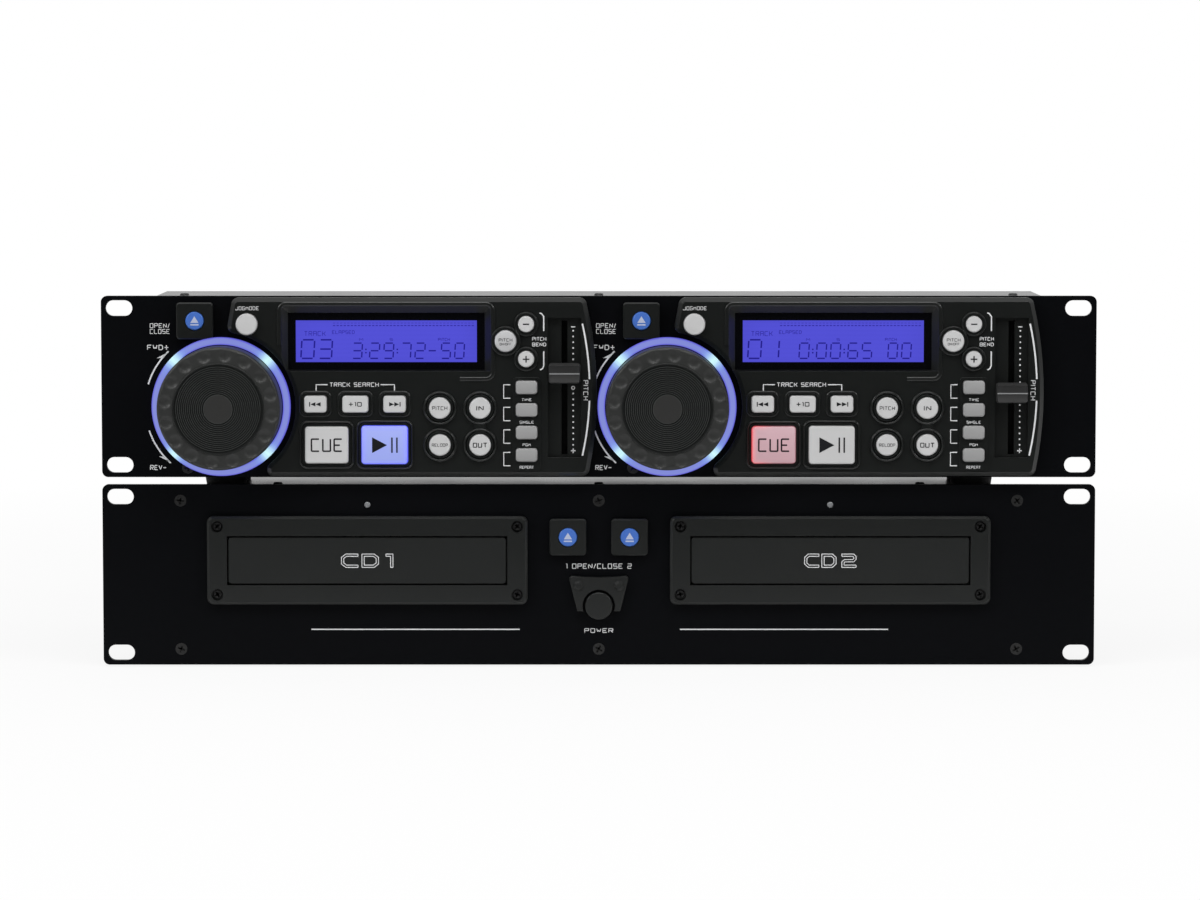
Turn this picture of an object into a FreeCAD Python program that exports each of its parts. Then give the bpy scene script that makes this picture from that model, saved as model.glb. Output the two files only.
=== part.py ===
import FreeCAD, Part
import math
import os
import re
import Sketcher

# Twin rack player for compact discs: a control unit with two decks stands on
# a drive unit with two disc trays.  Both have a 19 inch, two-unit front panel.
# Millimetres.  +X is to the right seen from the front, -Y is the front, +Z is
# up.  The origin is under the middle of the whole stack, on its feet.

SIZES = {
    # 19 inch rack panels, two units high
    "panel_width": 482.6,
    "panel_height": 88.1,
    "panel_thick": 3.0,
    "panel_corner": 3.0,
    "slot_spacing": 465.1,
    "slot_rise": 76.2,
    "slot_length": 13.0,
    "slot_width": 7.6,
    "unit_gap": 3.6,
    "foot_show": 0.8,
    # sheet metal housings
    "sheet": 1.2,
    "floor_inset": 2.5,
    "drive_width": 384.0,
    "drive_depth": 250.0,
    "drive_cover_step": 1.0,
    "flange_width": 420.0,
    "deck_unit_width": 430.0,
    "deck_unit_depth": 62.0,
    "deck_cover_step": 0.3,
    "vent_count": 9,
    "vent_width": 3.0,
    "vent_height": 30.0,
    "vent_pitch": 9.0,
    "vent_start": 118.0,
    # feet
    "foot_radius": 11.0,
    "foot_taper": 1.2,
    "foot_hollow_radius": 4.0,
    "foot_hollow_depth": 1.2,
    "foot_x": 182.5,
    "drive_foot_x": 168.0,
    "foot_front": 21.0,
    "deck_foot_rear": 47.0,
    "drive_foot_rear": 228.0,
    # fasteners
    "screw_head": 3.0,
    "screw_shank": 1.5,
    "screw_length": 7.0,
    "lid_screw_depth": 3.6,
    "cap_head": 2.6,
    "cap_head_rise": 0.9,
    "panel_screw_x": 203.4,
    "panel_screw_low": 7.7,
    "panel_screw_high": 80.2,
    "drive_cover_screw_x": 157.0,
    "deck_cover_screw_x": 202.0,
    "deck_screw_x": 16.4,
    "deck_screw_z": 4.6,
    "cover_screw_front": 12.0,
    # disc trays and their bezels
    "tray_x": 112.5,
    "tray_z": 51.3,
    "mouth_width": 136.2,
    "mouth_height": 24.0,
    "bezel_width": 155.7,
    "bezel_height": 43.0,
    "bezel_rise": 4.0,
    "bezel_corner": 3.0,
    "bezel_edge": 1.2,
    "bezel_screw_x": 72.85,
    "bezel_screw_z": 16.6,
    "bezel_screw_sink": 1.6,
    "door_width": 135.2,
    "door_height": 22.8,
    "door_thick": 3.2,
    "door_sink": 0.5,
    "tray_width": 129.0,
    "tray_thick": 5.4,
    "tray_travel": 130.0,
    "tray_tail": 42.0,
    "tray_drop": 9.6,
    "disc_radius": 60.6,
    "disc_sink": 1.9,
    "small_disc_radius": 40.6,
    "small_disc_sink": 0.8,
    "hub_slot_width": 38.0,
    "hub_slot_length": 80.0,
    "disc_middle": 66.0,
    # loading mechanism
    "loader_width": 146.0,
    "loader_top": 62.0,
    "loader_floor": 36.5,
    "loader_skin": 2.5,
    "loader_front": 6.0,
    "tray_clear": 0.5,
    "bridge_depth": 30.0,
    "turntable_radius": 14.0,
    "clamp_drop": 6.0,
    "leg_size": 8.0,
    "motor_radius": 12.0,
    "motor_height": 14.0,
    "feed_motor_radius": 8.0,
    # eject and power controls of the drive unit
    "eject_x": 15.0,
    "eject_z": 62.6,
    "square_bezel": 17.8,
    "square_bezel_rise": 3.2,
    "square_bezel_corner": 1.7,
    "small_button_radius": 4.45,
    "power_z": 29.1,
    "power_radius": 6.75,
    "power_rise": 4.2,
    "saddle_width": 29.7,
    "saddle_top": 43.8,
    "saddle_foot": 26.4,
    "saddle_foot_width": 20.8,
    "saddle_arc": 7.9,
    "saddle_dip_radius": 138.0,
    "saddle_dip": 0.8,
    "saddle_rise": 3.0,
    "dome_x": 9.8,
    "dome_z": 38.9,
    "dome_radius": 2.5,
    "dome_rise": 1.1,
    "lamp_z": 78.2,
    "lamp_radius": 1.5,
    "lamp_rise": 1.0,
    # control decks: everything is placed from the axis of the jog wheel
    "jog_left": -183.2,
    "deck_pitch": 216.3,
    "jog_z": 34.4,
    "jog_reach": 20.0,
    "wheel_radius": 29.7,
    "wheel_back": 1.0,
    "wheel_rim": 1.6,
    "dimple_count": 16,
    "dimple_ring": 26.0,
    "dimple_radius": 3.4,
    "dimple_depth": 1.5,
    "dimple_phase": 15.0,
    "pad_radius": 22.2,
    "pad_rise": 0.7,
    "pad_groove_count": 4,
    "pad_groove_width": 0.7,
    "pad_groove_depth": 0.35,
    "pad_middle": 7.1,
    "shaft_radius": 4.0,
    "shaft_back": 4.5,
    "ring_inner": 30.1,
    "ring_outer": 33.7,
    "ring_rise": 2.4,
    "ring_edge": 0.8,
    "ring_gap": 0.2,
    # raised deck fascia
    "fascia_rise": 7.0,
    "fascia_top": 87.5,
    "fascia_foot": 1.0,
    "fascia_bevel": 2.0,
    "fascia_arc": 36.4,
    "fascia_slant_top": 6.1,
    "fascia_slant_foot": 3.0,
    "fascia_right_top": 176.6,
    "fascia_right_foot": 178.1,
    "fascia_heel": 22.6,
    "heel_corner": 2.4,
    "fascia_bulge": 192.0,
    "fascia_corner": 3.5,
    # display
    "screen_x": 80.4,
    "screen_z": 66.3,
    "screen_width": 95.1,
    "screen_height": 27.6,
    "screen_thick": 2.0,
    "screen_sink": 3.2,
    "screen_flare": 3.1,
    "screen_flare_top": 3.3,
    "screen_flare_foot": 0.5,
    "glass_width": 87.6,
    "glass_height": 20.2,
    # rows and columns of keys, from the jog axis and the panel's bottom edge
    "key_rise": 2.6,
    "key_travel": 1.5,
    "key_gap": 0.3,
    "key_flange": 0.9,
    "key_flange_thick": 1.2,
    "key_edge": 0.6,
    "key_corner": 1.6,
    "rim_margin": 1.3,
    "rim_rise": 0.7,
    "open_x": -12.45,
    "open_z": 76.1,
    "mode_x": 13.1,
    "mode_z": 74.7,
    "round_key_radius": 5.2,
    "bend_key_radius": 3.9,
    "collar_margin": 1.9,
    "collar_rise": 1.2,
    "collar_draft": -30.0,
    "search_z": 36.1,
    "track_back_x": 46.2,
    "plus_ten_x": 65.5,
    "track_forward_x": 84.5,
    "search_width": 10.9,
    "plus_ten_width": 12.6,
    "search_height": 8.1,
    "start_z": 16.3,
    "cue_x": 51.6,
    "cue_width": 21.0,
    "cue_height": 17.8,
    "play_x": 79.6,
    "play_width": 22.2,
    "play_height": 18.4,
    "loop_left_x": 106.35,
    "loop_right_x": 125.8,
    "loop_high_z": 34.2,
    "loop_low_z": 16.3,
    "pitch_on_x": 138.2,
    "pitch_on_z": 66.6,
    "bend_x": 148.1,
    "bend_minus_z": 74.8,
    "bend_plus_z": 57.9,
    "list_x": 148.3,
    "list_top_z": 44.2,
    "list_pitch": 10.93,
    "list_width": 10.5,
    "list_height": 6.5,
    "strip_width": 13.6,
    "strip_height": 45.0,
    "strip_z": 26.4,
    # pitch fader
    "fader_x": 166.6,
    "fader_z": 43.9,
    "fader_bed_width": 16.1,
    "fader_bed_height": 67.8,
    "fader_bed_sink": 2.5,
    "fader_slot_width": 2.9,
    "fader_slot_height": 65.0,
    "fader_cap_width": 15.5,
    "fader_cap_height": 10.0,
    "fader_cap_reach": 14.2,
    "fader_cap_lift": 0.5,
    "fader_cap_draft": -6.0,
    "fader_waist": 1.6,
    "fader_scoop": 5.8,
    "lever_width": 1.8,
    "lever_height": 4.0,
    "lever_back": 2.0,
    "fader_set_1": 7.1,
    "fader_set_2": -2.4,
    # circuit boards and rear sockets
    "board_thick": 1.6,
    "switch_gap": 0.3,
    "switch_size": 6.0,
    "board_back": 5.5,
    "board_x": 79.0,
    "board_width": 192.0,
    "board_foot": 5.0,
    "board_height": 78.0,
    "board_hold": 3.0,
    "board_grip": 16.0,
    "main_board_width": 350.0,
    "main_board_depth": 58.0,
    "supply_front": 16.0,
    "supply_length": 140.0,
    "supply_width": 68.0,
    "spacer_height": 5.0,
    "front_board_height": 70.0,
    "phono_radius": 4.2,
    "phono_bore": 1.6,
    "jack_reach": 8.5,
    "phono_pitch": 18.0,
    "phono_x": 60.0,
    "rear_row_z": 30.0,
    "din_radius": 7.0,
    "din_rise": 1.6,
    "din_x": 14.0,
    "inlet_x": -140.0,
    "inlet_width": 27.6,
    "inlet_height": 20.0,
    "inlet_depth": 17.0,
    "inlet_wall": 1.8,
    "inlet_pin_length": 9.0,
    "inlet_pin_pitch": 7.0,
}

doc = FreeCAD.newDocument("TwinDeckPlayer")
sheet = doc.addObject("Spreadsheet::Sheet", "Sizes")
for row, (alias, value) in enumerate(SIZES.items(), 1):
    sheet.set(f"A{row}", alias)
    sheet.set(f"B{row}", str(value))
    sheet.setAlias(f"B{row}", alias)
doc.recompute()

QUARTER = math.pi / 2
ALIASES = re.compile(r"\b(" + "|".join(SIZES) + r")\b")
NODES = []

# Places that many pieces share, as formulas of the sizes above.
FACE = "((jog_reach - drive_depth - jack_reach) / 2)"
DRIVE_FOOT = "foot_show"
DECK_FOOT = "(foot_show + panel_height + unit_gap)"
DRIVE_FLOOR = f"({DRIVE_FOOT} + floor_inset)"
DECK_FLOOR = f"({DECK_FOOT} + floor_inset)"
DRIVE_LID = f"({DRIVE_FOOT} + panel_height - drive_cover_step)"
DECK_LID = f"({DECK_FOOT} + panel_height - deck_cover_step)"
PANEL_BACK = f"({FACE} + panel_thick)"
FASCIA_FACE = f"({FACE} - fascia_rise)"
TRAY_Z = f"({DRIVE_FOOT} + tray_z)"
TRAY_LENGTH = "(tray_travel + tray_tail)"
TRAY_FOOT = f"({TRAY_Z} - tray_drop)"
TRAY_FRONT = f"({FACE} - bezel_rise + door_sink + door_thick)"


# ---------------------------------------------------------------- helpers
def bound(formula):
    """Point every size word of a formula at its cell in the sheet."""
    return ALIASES.sub(r"Sizes.\1", str(formula))


def number(formula):
    """Number that a formula gives with the present sizes."""
    result = sheet.evalExpression(str(formula))
    return float(getattr(result, "Value", result))


def drive(obj, **formulas):
    """Bind properties of an object to formulas."""
    for prop, formula in formulas.items():
        obj.setExpression(prop, bound(formula))
    return obj


def place(obj, x, y, z):
    """Bind the place of an object to three formulas."""
    for axis, formula in zip("xyz", (x, y, z)):
        obj.setExpression(f".Placement.Base.{axis}", bound(formula))
    return obj


def block(name, x, y, z, width, depth, height):
    """Box: middle at x, front face at y, foot at z."""
    obj = doc.addObject("Part::Box", name)
    drive(obj, Length=width, Width=depth, Height=height)
    return place(obj, f"({x}) - ({width}) / 2", y, z)


def rod(name, x, y, z, radius, length):
    """Round bar along Y: front face at y, reaching backwards."""
    obj = doc.addObject("Part::Cylinder", name)
    obj.Placement.Rotation = FreeCAD.Rotation(FreeCAD.Vector(1, 0, 0), -90)
    drive(obj, Radius=radius, Height=length)
    return place(obj, x, y, z)


def taper(name, x, y, z, front_radius, back_radius, length):
    """Cone along Y: front face at y, reaching backwards."""
    obj = doc.addObject("Part::Cone", name)
    obj.Placement.Rotation = FreeCAD.Rotation(FreeCAD.Vector(1, 0, 0), -90)
    drive(obj, Radius1=front_radius, Radius2=back_radius, Height=length)
    return place(obj, x, y, z)


def post(name, x, y, z, radius, height):
    """Upright round bar with its foot at z."""
    obj = doc.addObject("Part::Cylinder", name)
    drive(obj, Radius=radius, Height=height)
    return place(obj, x, y, z)


def cut(name, base, tools):
    """Take the tools, which do not touch each other, out of the base."""
    tool = tools[0]
    if len(tools) > 1:
        tool = doc.addObject("Part::Compound", name + "_tools")
        tool.Links = tools
    obj = doc.addObject("Part::Cut", name)
    obj.Base = base
    obj.Tool = tool
    return obj


def fuse(name, pieces):
    """Join pieces into one solid."""
    obj = doc.addObject("Part::MultiFuse", name)
    obj.Shapes = pieces
    return obj


def group(node, pieces):
    """Keep pieces as separate solids of one node."""
    obj = doc.addObject("Part::Compound", node)
    obj.Links = pieces
    return keep(node, obj)


def keep(node, obj):
    """Give an object its node name and list it for export."""
    obj.Label = node
    NODES.append((node, obj))
    return obj


class Solid:
    """A PartDesign body that is built up feature by feature."""

    def __init__(self, name, x="0", y="0", z="0"):
        self.body = doc.addObject("PartDesign::Body", name)
        place(self.body, x, y, z)
        self.steps = 0

    def sketch(self, role="XZ_Plane", forward="0"):
        """Empty sketch on an origin plane, moved along its own normal."""
        self.steps += 1
        obj = self.body.newObject("Sketcher::SketchObject", f"{self.body.Name}_sketch{self.steps}")
        plane = next(item for item in self.body.Origin.OriginFeatures if item.Role == role)
        obj.AttachmentSupport = [(plane, "")]
        obj.MapMode = "FlatFace"
        obj.setExpression(".AttachmentOffset.Base.z", bound(forward))
        return Outline(obj)

    def pad(self, outline, length, draft=None):
        """Raise an outline along the sketch normal."""
        return self._extrude("PartDesign::Pad", outline, length, draft)

    def pocket(self, outline, length, draft=None):
        """Sink an outline against the sketch normal."""
        return self._extrude("PartDesign::Pocket", outline, length, draft)

    def _extrude(self, kind, outline, length, draft):
        self.steps += 1
        obj = self.body.newObject(kind, f"{self.body.Name}_step{self.steps}")
        obj.Profile = outline.finish()
        obj.setExpression("Length", bound(length))
        if draft is not None:
            obj.setExpression("TaperAngle", bound(draft))
        outline.sketch.Visibility = False
        self.body.Tip = obj
        return obj

    def edge_work(self, kind, prop, formula, chooser):
        """Fillet or chamfer the edges that the chooser accepts."""
        doc.recompute()
        base = self.body.Tip
        names = [
            f"Edge{index}"
            for index, edge in enumerate(base.Shape.Edges, 1)
            if chooser(edge)
        ]
        self.steps += 1
        obj = self.body.newObject(kind, f"{self.body.Name}_step{self.steps}")
        obj.Base = (base, names)
        obj.setExpression(prop, bound(formula))
        self.body.Tip = obj
        return obj

    def fillet(self, formula, chooser):
        """Round the chosen edges."""
        return self.edge_work("PartDesign::Fillet", "Radius", formula, chooser)

    def chamfer(self, formula, chooser):
        """Bevel the chosen edges."""
        return self.edge_work("PartDesign::Chamfer", "Size", formula, chooser)


class Outline:
    """Closed loops in one sketch, each tied to formulas."""

    def __init__(self, sketch):
        self.sketch = sketch
        self.shapes = []
        self.rules = []

    def finish(self):
        """Hand all loops and constraints to the sketch in one go."""
        if not self.shapes:
            return self.sketch
        self.sketch.addGeometry(self.shapes)
        self.sketch.addConstraint([rule for rule, _ in self.rules])
        for index, (_, formula) in enumerate(self.rules):
            if formula is not None:
                self.sketch.setExpression(f"Constraints[{index}]", bound(formula))
        self.shapes = []
        return self.sketch

    def line(self, start, end):
        """Add a straight side and return its number."""
        self.shapes.append(Part.LineSegment(FreeCAD.Vector(*start, 0), FreeCAD.Vector(*end, 0)))
        return len(self.shapes) - 1

    def arc(self, centre, radius, start, end):
        """Add a round side, turning left from start to end, and return its number."""
        circle = Part.Circle(FreeCAD.Vector(*centre, 0), FreeCAD.Vector(0, 0, 1), radius)
        self.shapes.append(Part.ArcOfCircle(circle, start, end))
        return len(self.shapes) - 1

    def limit(self, *args, formula):
        """Add a measured constraint that follows a formula."""
        self.rules.append((Sketcher.Constraint(*args, number(formula)), formula))

    def tie(self, *args):
        """Add a plain constraint."""
        self.rules.append((Sketcher.Constraint(*args), None))

    def at(self, item, end, x=None, z=None):
        """Tie a point of an item to its distances from the sketch's origin."""
        if x is not None:
            self.limit("DistanceX", -1, 1, item, end, formula=x)
        if z is not None:
            self.limit("DistanceY", -1, 1, item, end, formula=z)

    def circle(self, x, z, radius):
        """Full circle."""
        centre = FreeCAD.Vector(number(x), number(z), 0)
        self.shapes.append(Part.Circle(centre, FreeCAD.Vector(0, 0, 1), number(radius)))
        item = len(self.shapes) - 1
        self.limit("Radius", item, formula=radius)
        self.at(item, 3, x, z)

    def rectangle(self, x, z, width, height):
        """Sharp rectangle centred on x, z."""
        left, right = f"({x}) - ({width}) / 2", f"({x}) + ({width}) / 2"
        low, top = f"({z}) - ({height}) / 2", f"({z}) + ({height}) / 2"
        corners = [(number(px), number(pz)) for px, pz in ((left, low), (right, low), (right, top), (left, top))]
        sides = [self.line(corners[index], corners[(index + 1) % 4]) for index in range(4)]
        for index in range(4):
            self.tie("Coincident", sides[index], 2, sides[(index + 1) % 4], 1)
            self.tie("Vertical" if index % 2 else "Horizontal", sides[index])
        self.at(sides[0], 1, left, low)
        self.at(sides[2], 1, right, top)

    def rounded(self, x, z, width, height, radius):
        """Rectangle with rounded corners centred on x, z."""
        wide, high, rad = f"({width}) / 2", f"({height}) / 2", number(radius)
        left, right = number(f"({x}) - {wide}"), number(f"({x}) + {wide}")
        low, top = number(f"({z}) - {high}"), number(f"({z}) + {high}")
        sides = [
            self.line((left + rad, low), (right - rad, low)),
            self.line((right, low + rad), (right, top - rad)),
            self.line((right - rad, top), (left + rad, top)),
            self.line((left, top - rad), (left, low + rad)),
        ]
        centres = ((right - rad, low + rad), (right - rad, top - rad), (left + rad, top - rad), (left + rad, low + rad))
        arcs = [
            self.arc(centre, rad, (index - 1) * QUARTER, index * QUARTER) for index, centre in enumerate(centres)
        ]
        for index in range(4):
            self.tie("Tangent", sides[index], 2, arcs[index], 1)
            self.tie("Tangent", arcs[index], 2, sides[(index + 1) % 4], 1)
            self.tie("Vertical" if index % 2 else "Horizontal", sides[index])
            if index:
                self.tie("Equal", arcs[0], arcs[index])
        self.limit("Radius", arcs[0], formula=radius)
        self.at(sides[3], 1, x=f"({x}) - {wide}")
        self.at(sides[1], 1, x=f"({x}) + {wide}")
        self.at(sides[0], 1, z=f"({z}) - {high}")
        self.at(sides[2], 1, z=f"({z}) + {high}")

    def slot(self, x, z, length, width):
        """Level slot with round ends centred on x, z."""
        cx, cz, rad = number(x), number(z), number(width) / 2
        reach = number(length) / 2 - rad
        low = self.line((cx - reach, cz - rad), (cx + reach, cz - rad))
        top = self.line((cx + reach, cz + rad), (cx - reach, cz + rad))
        right = self.arc((cx + reach, cz), rad, -QUARTER, QUARTER)
        left = self.arc((cx - reach, cz), rad, QUARTER, 3 * QUARTER)
        for first, second in ((low, right), (right, top), (top, left), (left, low)):
            self.tie("Tangent", first, 2, second, 1)
        self.tie("Horizontal", low)
        self.limit("Radius", right, formula=f"({width}) / 2")
        self.at(right, 3, f"({x}) + (({length}) - ({width})) / 2", z)
        self.at(left, 3, x=f"({x}) - (({length}) - ({width})) / 2")


def along_y(edge, near=None, reach=1.0):
    """True for a straight edge along Y, near one of the x, z places if given."""
    ends = [vertex.Point for vertex in edge.Vertexes]
    if len(ends) != 2 or abs(ends[0].x - ends[1].x) > 1e-6 or abs(ends[0].z - ends[1].z) > 1e-6:
        return False
    if near is None:
        return True
    return any(abs(ends[0].x - px) < reach and abs(ends[0].z - pz) < reach for px, pz in near)


def at_front(level, tolerance=1e-4):
    """Chooser for the edges that lie in the plane y = level of a body."""
    def chooser(edge):
        box = edge.BoundBox
        return abs(box.YMin - level) < tolerance and abs(box.YMax - level) < tolerance
    return chooser


# ---------------------------------------------------------------- fasteners
def sunk_screw(name, x, y, z):
    """Countersunk screw along Y, its head flush with the face at y."""
    head = taper(name + "_head", x, y, z, "screw_head", "screw_shank", "screw_head - screw_shank")
    shank = rod(
        name + "_shank", x, f"{y} + screw_head - screw_shank", z, "screw_shank",
        "screw_length - screw_head + screw_shank"
    )
    return fuse(name, [head, shank])


def set_screw(name, x, y, z, length):
    """Pan-head screw along Y: the underside of its head lies at y."""
    head = rod(name + "_head", x, f"{y} - cap_head_rise", z, "cap_head", "cap_head_rise")
    shank = rod(name + "_shank", x, y, z, "screw_shank", length)
    return fuse(name, [head, shank])


def lid_screw(name, x, y, z):
    """Pan-head screw standing on a cover at z."""
    head = post(name + "_head", x, y, z, "cap_head", "cap_head_rise")
    shank = post(name + "_shank", x, y, f"{z} - lid_screw_depth", "screw_shank", "lid_screw_depth")
    return fuse(name, [head, shank])


panel_screws = [
    sunk_screw(f"panel_screw_{side + 1}{level}", f"{side} * panel_screw_x", FACE, f"{DRIVE_FOOT} + {height}")
    for side in (-1, 0, 1)
    for level, height in enumerate(("panel_screw_low", "panel_screw_high"))
]
deck_screws = [
    sunk_screw(
        f"deck_screw_{deck}", f"jog_left + {deck} * deck_pitch - deck_screw_x", FACE, f"{DECK_FOOT} + deck_screw_z"
    )
    for deck in (0, 1)
]
bezel_screws = [
    set_screw(
        f"bezel_screw_{tray}{side}{level}",
        f"{tray} * tray_x + {side} * bezel_screw_x".replace("+ -", "- "),
        f"{FACE} - bezel_rise + bezel_screw_sink + cap_head_rise",
        f"{TRAY_Z} + {level} * bezel_screw_z".replace("+ -", "- "),
        "bezel_rise - bezel_screw_sink - cap_head_rise + panel_thick + sheet",
    )
    for tray in (-1, 1)
    for side in (-1, 1)
    for level in (-1, 1)
]
LID_ROW = f"{PANEL_BACK} + cover_screw_front"
drive_lid_screws = [
    lid_screw(f"drive_lid_screw_{side + 1}", f"{side} * drive_cover_screw_x", LID_ROW, DRIVE_LID)
    for side in (-1, 0, 1)
]
deck_lid_screws = [
    lid_screw(f"deck_lid_screw_{side + 1}", f"{side} * deck_cover_screw_x", LID_ROW, DECK_LID)
    for side in (-1, 0, 1)
]
group("screws", panel_screws + deck_screws + bezel_screws + drive_lid_screws + deck_lid_screws)


# ---------------------------------------------------------------- keys
# Every push button: name, place on its panel, and its outline.
def round_shape(radius):
    """Outline function of a round key."""
    def draw(outline, x, z, grow="0", sharp=False):
        outline.circle(x, z, f"{radius} + {grow}")
    return draw


def square_shape(width, height):
    """Outline function of a key with rounded corners, or sharp ones for a window."""
    def draw(outline, x, z, grow="0", sharp=False):
        if sharp:
            outline.rectangle(x, z, f"{width} + 2 * ({grow})", f"{height} + 2 * ({grow})")
        else:
            outline.rounded(x, z, f"{width} + 2 * ({grow})", f"{height} + 2 * ({grow})", f"key_corner + {grow}")
    return draw


ROUND = round_shape("round_key_radius")
BEND = round_shape("bend_key_radius")
SMALL = round_shape("small_button_radius")
POWER = round_shape("power_radius")
SEARCH = square_shape("search_width", "search_height")
PLUS_TEN = square_shape("plus_ten_width", "search_height")
CUE = square_shape("cue_width", "cue_height")
PLAY = square_shape("play_width", "play_height")
LIST = square_shape("list_width", "list_height")

FASCIA_KEYS = {
    "jog_mode": ("mode_x", "mode_z", ROUND),
    "track_back": ("track_back_x", "search_z", SEARCH),
    "plus_ten": ("plus_ten_x", "search_z", PLUS_TEN),
    "track_forward": ("track_forward_x", "search_z", SEARCH),
    "cue": ("cue_x", "start_z", CUE),
    "play": ("play_x", "start_z", PLAY),
    "pitch": ("loop_left_x", "loop_high_z", ROUND),
    "reloop": ("loop_left_x", "loop_low_z", ROUND),
    "loop_in": ("loop_right_x", "loop_high_z", ROUND),
    "loop_out": ("loop_right_x", "loop_low_z", ROUND),
    "pitch_on": ("pitch_on_x", "pitch_on_z", ROUND),
    "bend_minus": ("bend_x", "bend_minus_z", BEND),
    "bend_plus": ("bend_x", "bend_plus_z", BEND),
    "time": ("list_x", "list_top_z", LIST),
    "single": ("list_x", "list_top_z - list_pitch", LIST),
    "program": ("list_x", "list_top_z - 2 * list_pitch", LIST),
    "repeat": ("list_x", "list_top_z - 3 * list_pitch", LIST),
}
SEARCH_KEYS = ("track_back", "plus_ten", "track_forward")
START_KEYS = ("cue", "play")
LIST_KEYS = ("time", "single", "program", "repeat")
WIDE_COLLARS = ("pitch", "reloop", "loop_in", "loop_out", "pitch_on")
SMALL_COLLARS = ("bend_minus", "bend_plus")
ROUND_KEYS = ("jog_mode",) + WIDE_COLLARS + SMALL_COLLARS


def push_button(node, x, z, shape, front, root):
    """Key that slides along Y, with a flange behind the wall whose back is at root."""
    button = Solid(node + "_solid", x, FACE, z)
    stem = button.sketch(forward=f"-({root}) - key_gap")
    shape(stem, "0", "0")
    button.pad(stem, f"{front} + {root} + key_gap")
    flange = button.sketch(forward=f"-({root}) - key_gap - key_flange_thick")
    shape(flange, "0", "0", "key_flange")
    button.pad(flange, "key_flange_thick")
    button.chamfer("key_edge", at_front(-number(front)))
    return keep(node, button.body)


def switch(name, x, z, root):
    """Push switch that stands on a control board behind a key."""
    start = f"{FACE} + {root} + key_gap + key_flange_thick + key_travel + switch_gap"
    length = f"panel_thick + board_back - ({root}) - key_gap - key_flange_thick - key_travel - switch_gap"
    return block(name, x, start, f"{z} - switch_size / 2", "switch_size", length, "switch_size")


# ---------------------------------------------------------------- rack panels
def rack_panel(name, foot, openings):
    """Front panel with four rack slots; each of openings draws one set of holes."""
    panel = Solid(name, "0", PANEL_BACK, foot)
    outline = panel.sketch()
    outline.rounded("0", "panel_height / 2", "panel_width", "panel_height", "panel_corner")
    for side in (-1, 1):
        for level in (-1, 1):
            outline.slot(
                f"{side} * slot_spacing / 2", f"(panel_height + {level} * slot_rise) / 2", "slot_length", "slot_width"
            )
    panel.pad(outline, "panel_thick")
    for draw in openings:
        holes = panel.sketch(forward="panel_thick")
        draw(holes)
        panel.pocket(holes, "panel_thick")
    return panel.body


def drive_openings(outline):
    """Tray mouths and the bores of buttons and lamps."""
    for side in (-1, 1):
        outline.rectangle(f"{side} * tray_x", "tray_z", "mouth_width + 2 * key_gap", "mouth_height + 2 * key_gap")
        outline.circle(f"{side} * eject_x", "eject_z", "small_button_radius + key_gap")
        outline.circle(f"{side} * tray_x", "lamp_z", "lamp_radius")
    outline.circle("0", "power_z", "power_radius + key_gap")


def deck_openings(deck):
    """Windows behind one fascia and the bore of its jog wheel."""
    def draw(outline):
        axis = f"jog_left + {deck} * deck_pitch"
        outline.circle(axis, "jog_z", "shaft_radius + key_gap")
        outline.circle(f"{axis} + open_x", "open_z", "small_button_radius + key_gap")
        outline.rectangle(f"{axis} + screen_x", "screen_z", "glass_width", "glass_height")
        outline.rectangle(
            f"{axis} + fader_x", "fader_z", "fader_slot_width + 2 * key_flange", "fader_slot_height + 2 * key_flange"
        )
        for x, z, shape in FASCIA_KEYS.values():
            shape(outline, f"{axis} + {x}", z, "key_flange + key_gap", sharp=True)
    return draw


drive_panel = rack_panel("drive_panel_plate", DRIVE_FOOT, [drive_openings])
keep("drive_front_panel", cut("drive_panel_cut", drive_panel, panel_screws + bezel_screws))
deck_panel = rack_panel("control_panel_plate", DECK_FOOT, [deck_openings(0), deck_openings(1)])
keep("control_front_panel", cut("control_panel_cut", deck_panel, deck_screws))


# ---------------------------------------------------------------- housings
def housing(name, foot, lid, width, depth, front_wall):
    """Folded sheet-metal tray, open at the top, behind a front panel."""
    tray = Solid(name, "0", PANEL_BACK, foot)
    height = f"{lid} - sheet - {foot}"
    length = f"{depth} - panel_thick"
    outline = tray.sketch("XY_Plane")
    outline.rectangle("0", f"({length}) / 2", width, length)
    tray.pad(outline, height)
    hollow = tray.sketch("XY_Plane", height)
    inner = f"{length} - sheet - {front_wall} * sheet"
    hollow.rectangle("0", f"{front_wall} * sheet + ({inner}) / 2", f"{width} - 2 * sheet", inner)
    tray.pocket(hollow, f"{height} - sheet")
    return tray, height, length


drive_tray, drive_wall, drive_length = housing(
    "drive_housing", DRIVE_FLOOR, DRIVE_LID, "drive_width", "drive_depth", 1
)
flange = drive_tray.sketch(forward="-sheet")
flange.rectangle("0", f"({drive_wall}) / 2", "flange_width", drive_wall)
drive_tray.pad(flange, "sheet")
front_holes = drive_tray.sketch()
for side in (-1, 1):
    front_holes.rectangle(
        f"{side} * tray_x", "tray_z - floor_inset", "mouth_width + 2 * key_gap", "mouth_height + 2 * key_gap"
    )
front_holes.rectangle(
    "0", "(power_z + eject_z) / 2 - floor_inset", "2 * eject_x + 4 * small_button_radius",
    "eject_z - power_z + 4 * power_radius"
)
drive_tray.pocket(front_holes, "sheet")
rear_holes = drive_tray.sketch(forward=f"sheet - ({drive_length})")
rear_holes.rectangle("inlet_x", "rear_row_z - floor_inset", "inlet_width", "inlet_height")
drive_tray.pocket(rear_holes, "sheet")
vents = drive_tray.sketch("YZ_Plane", "drive_width / 2")
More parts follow.
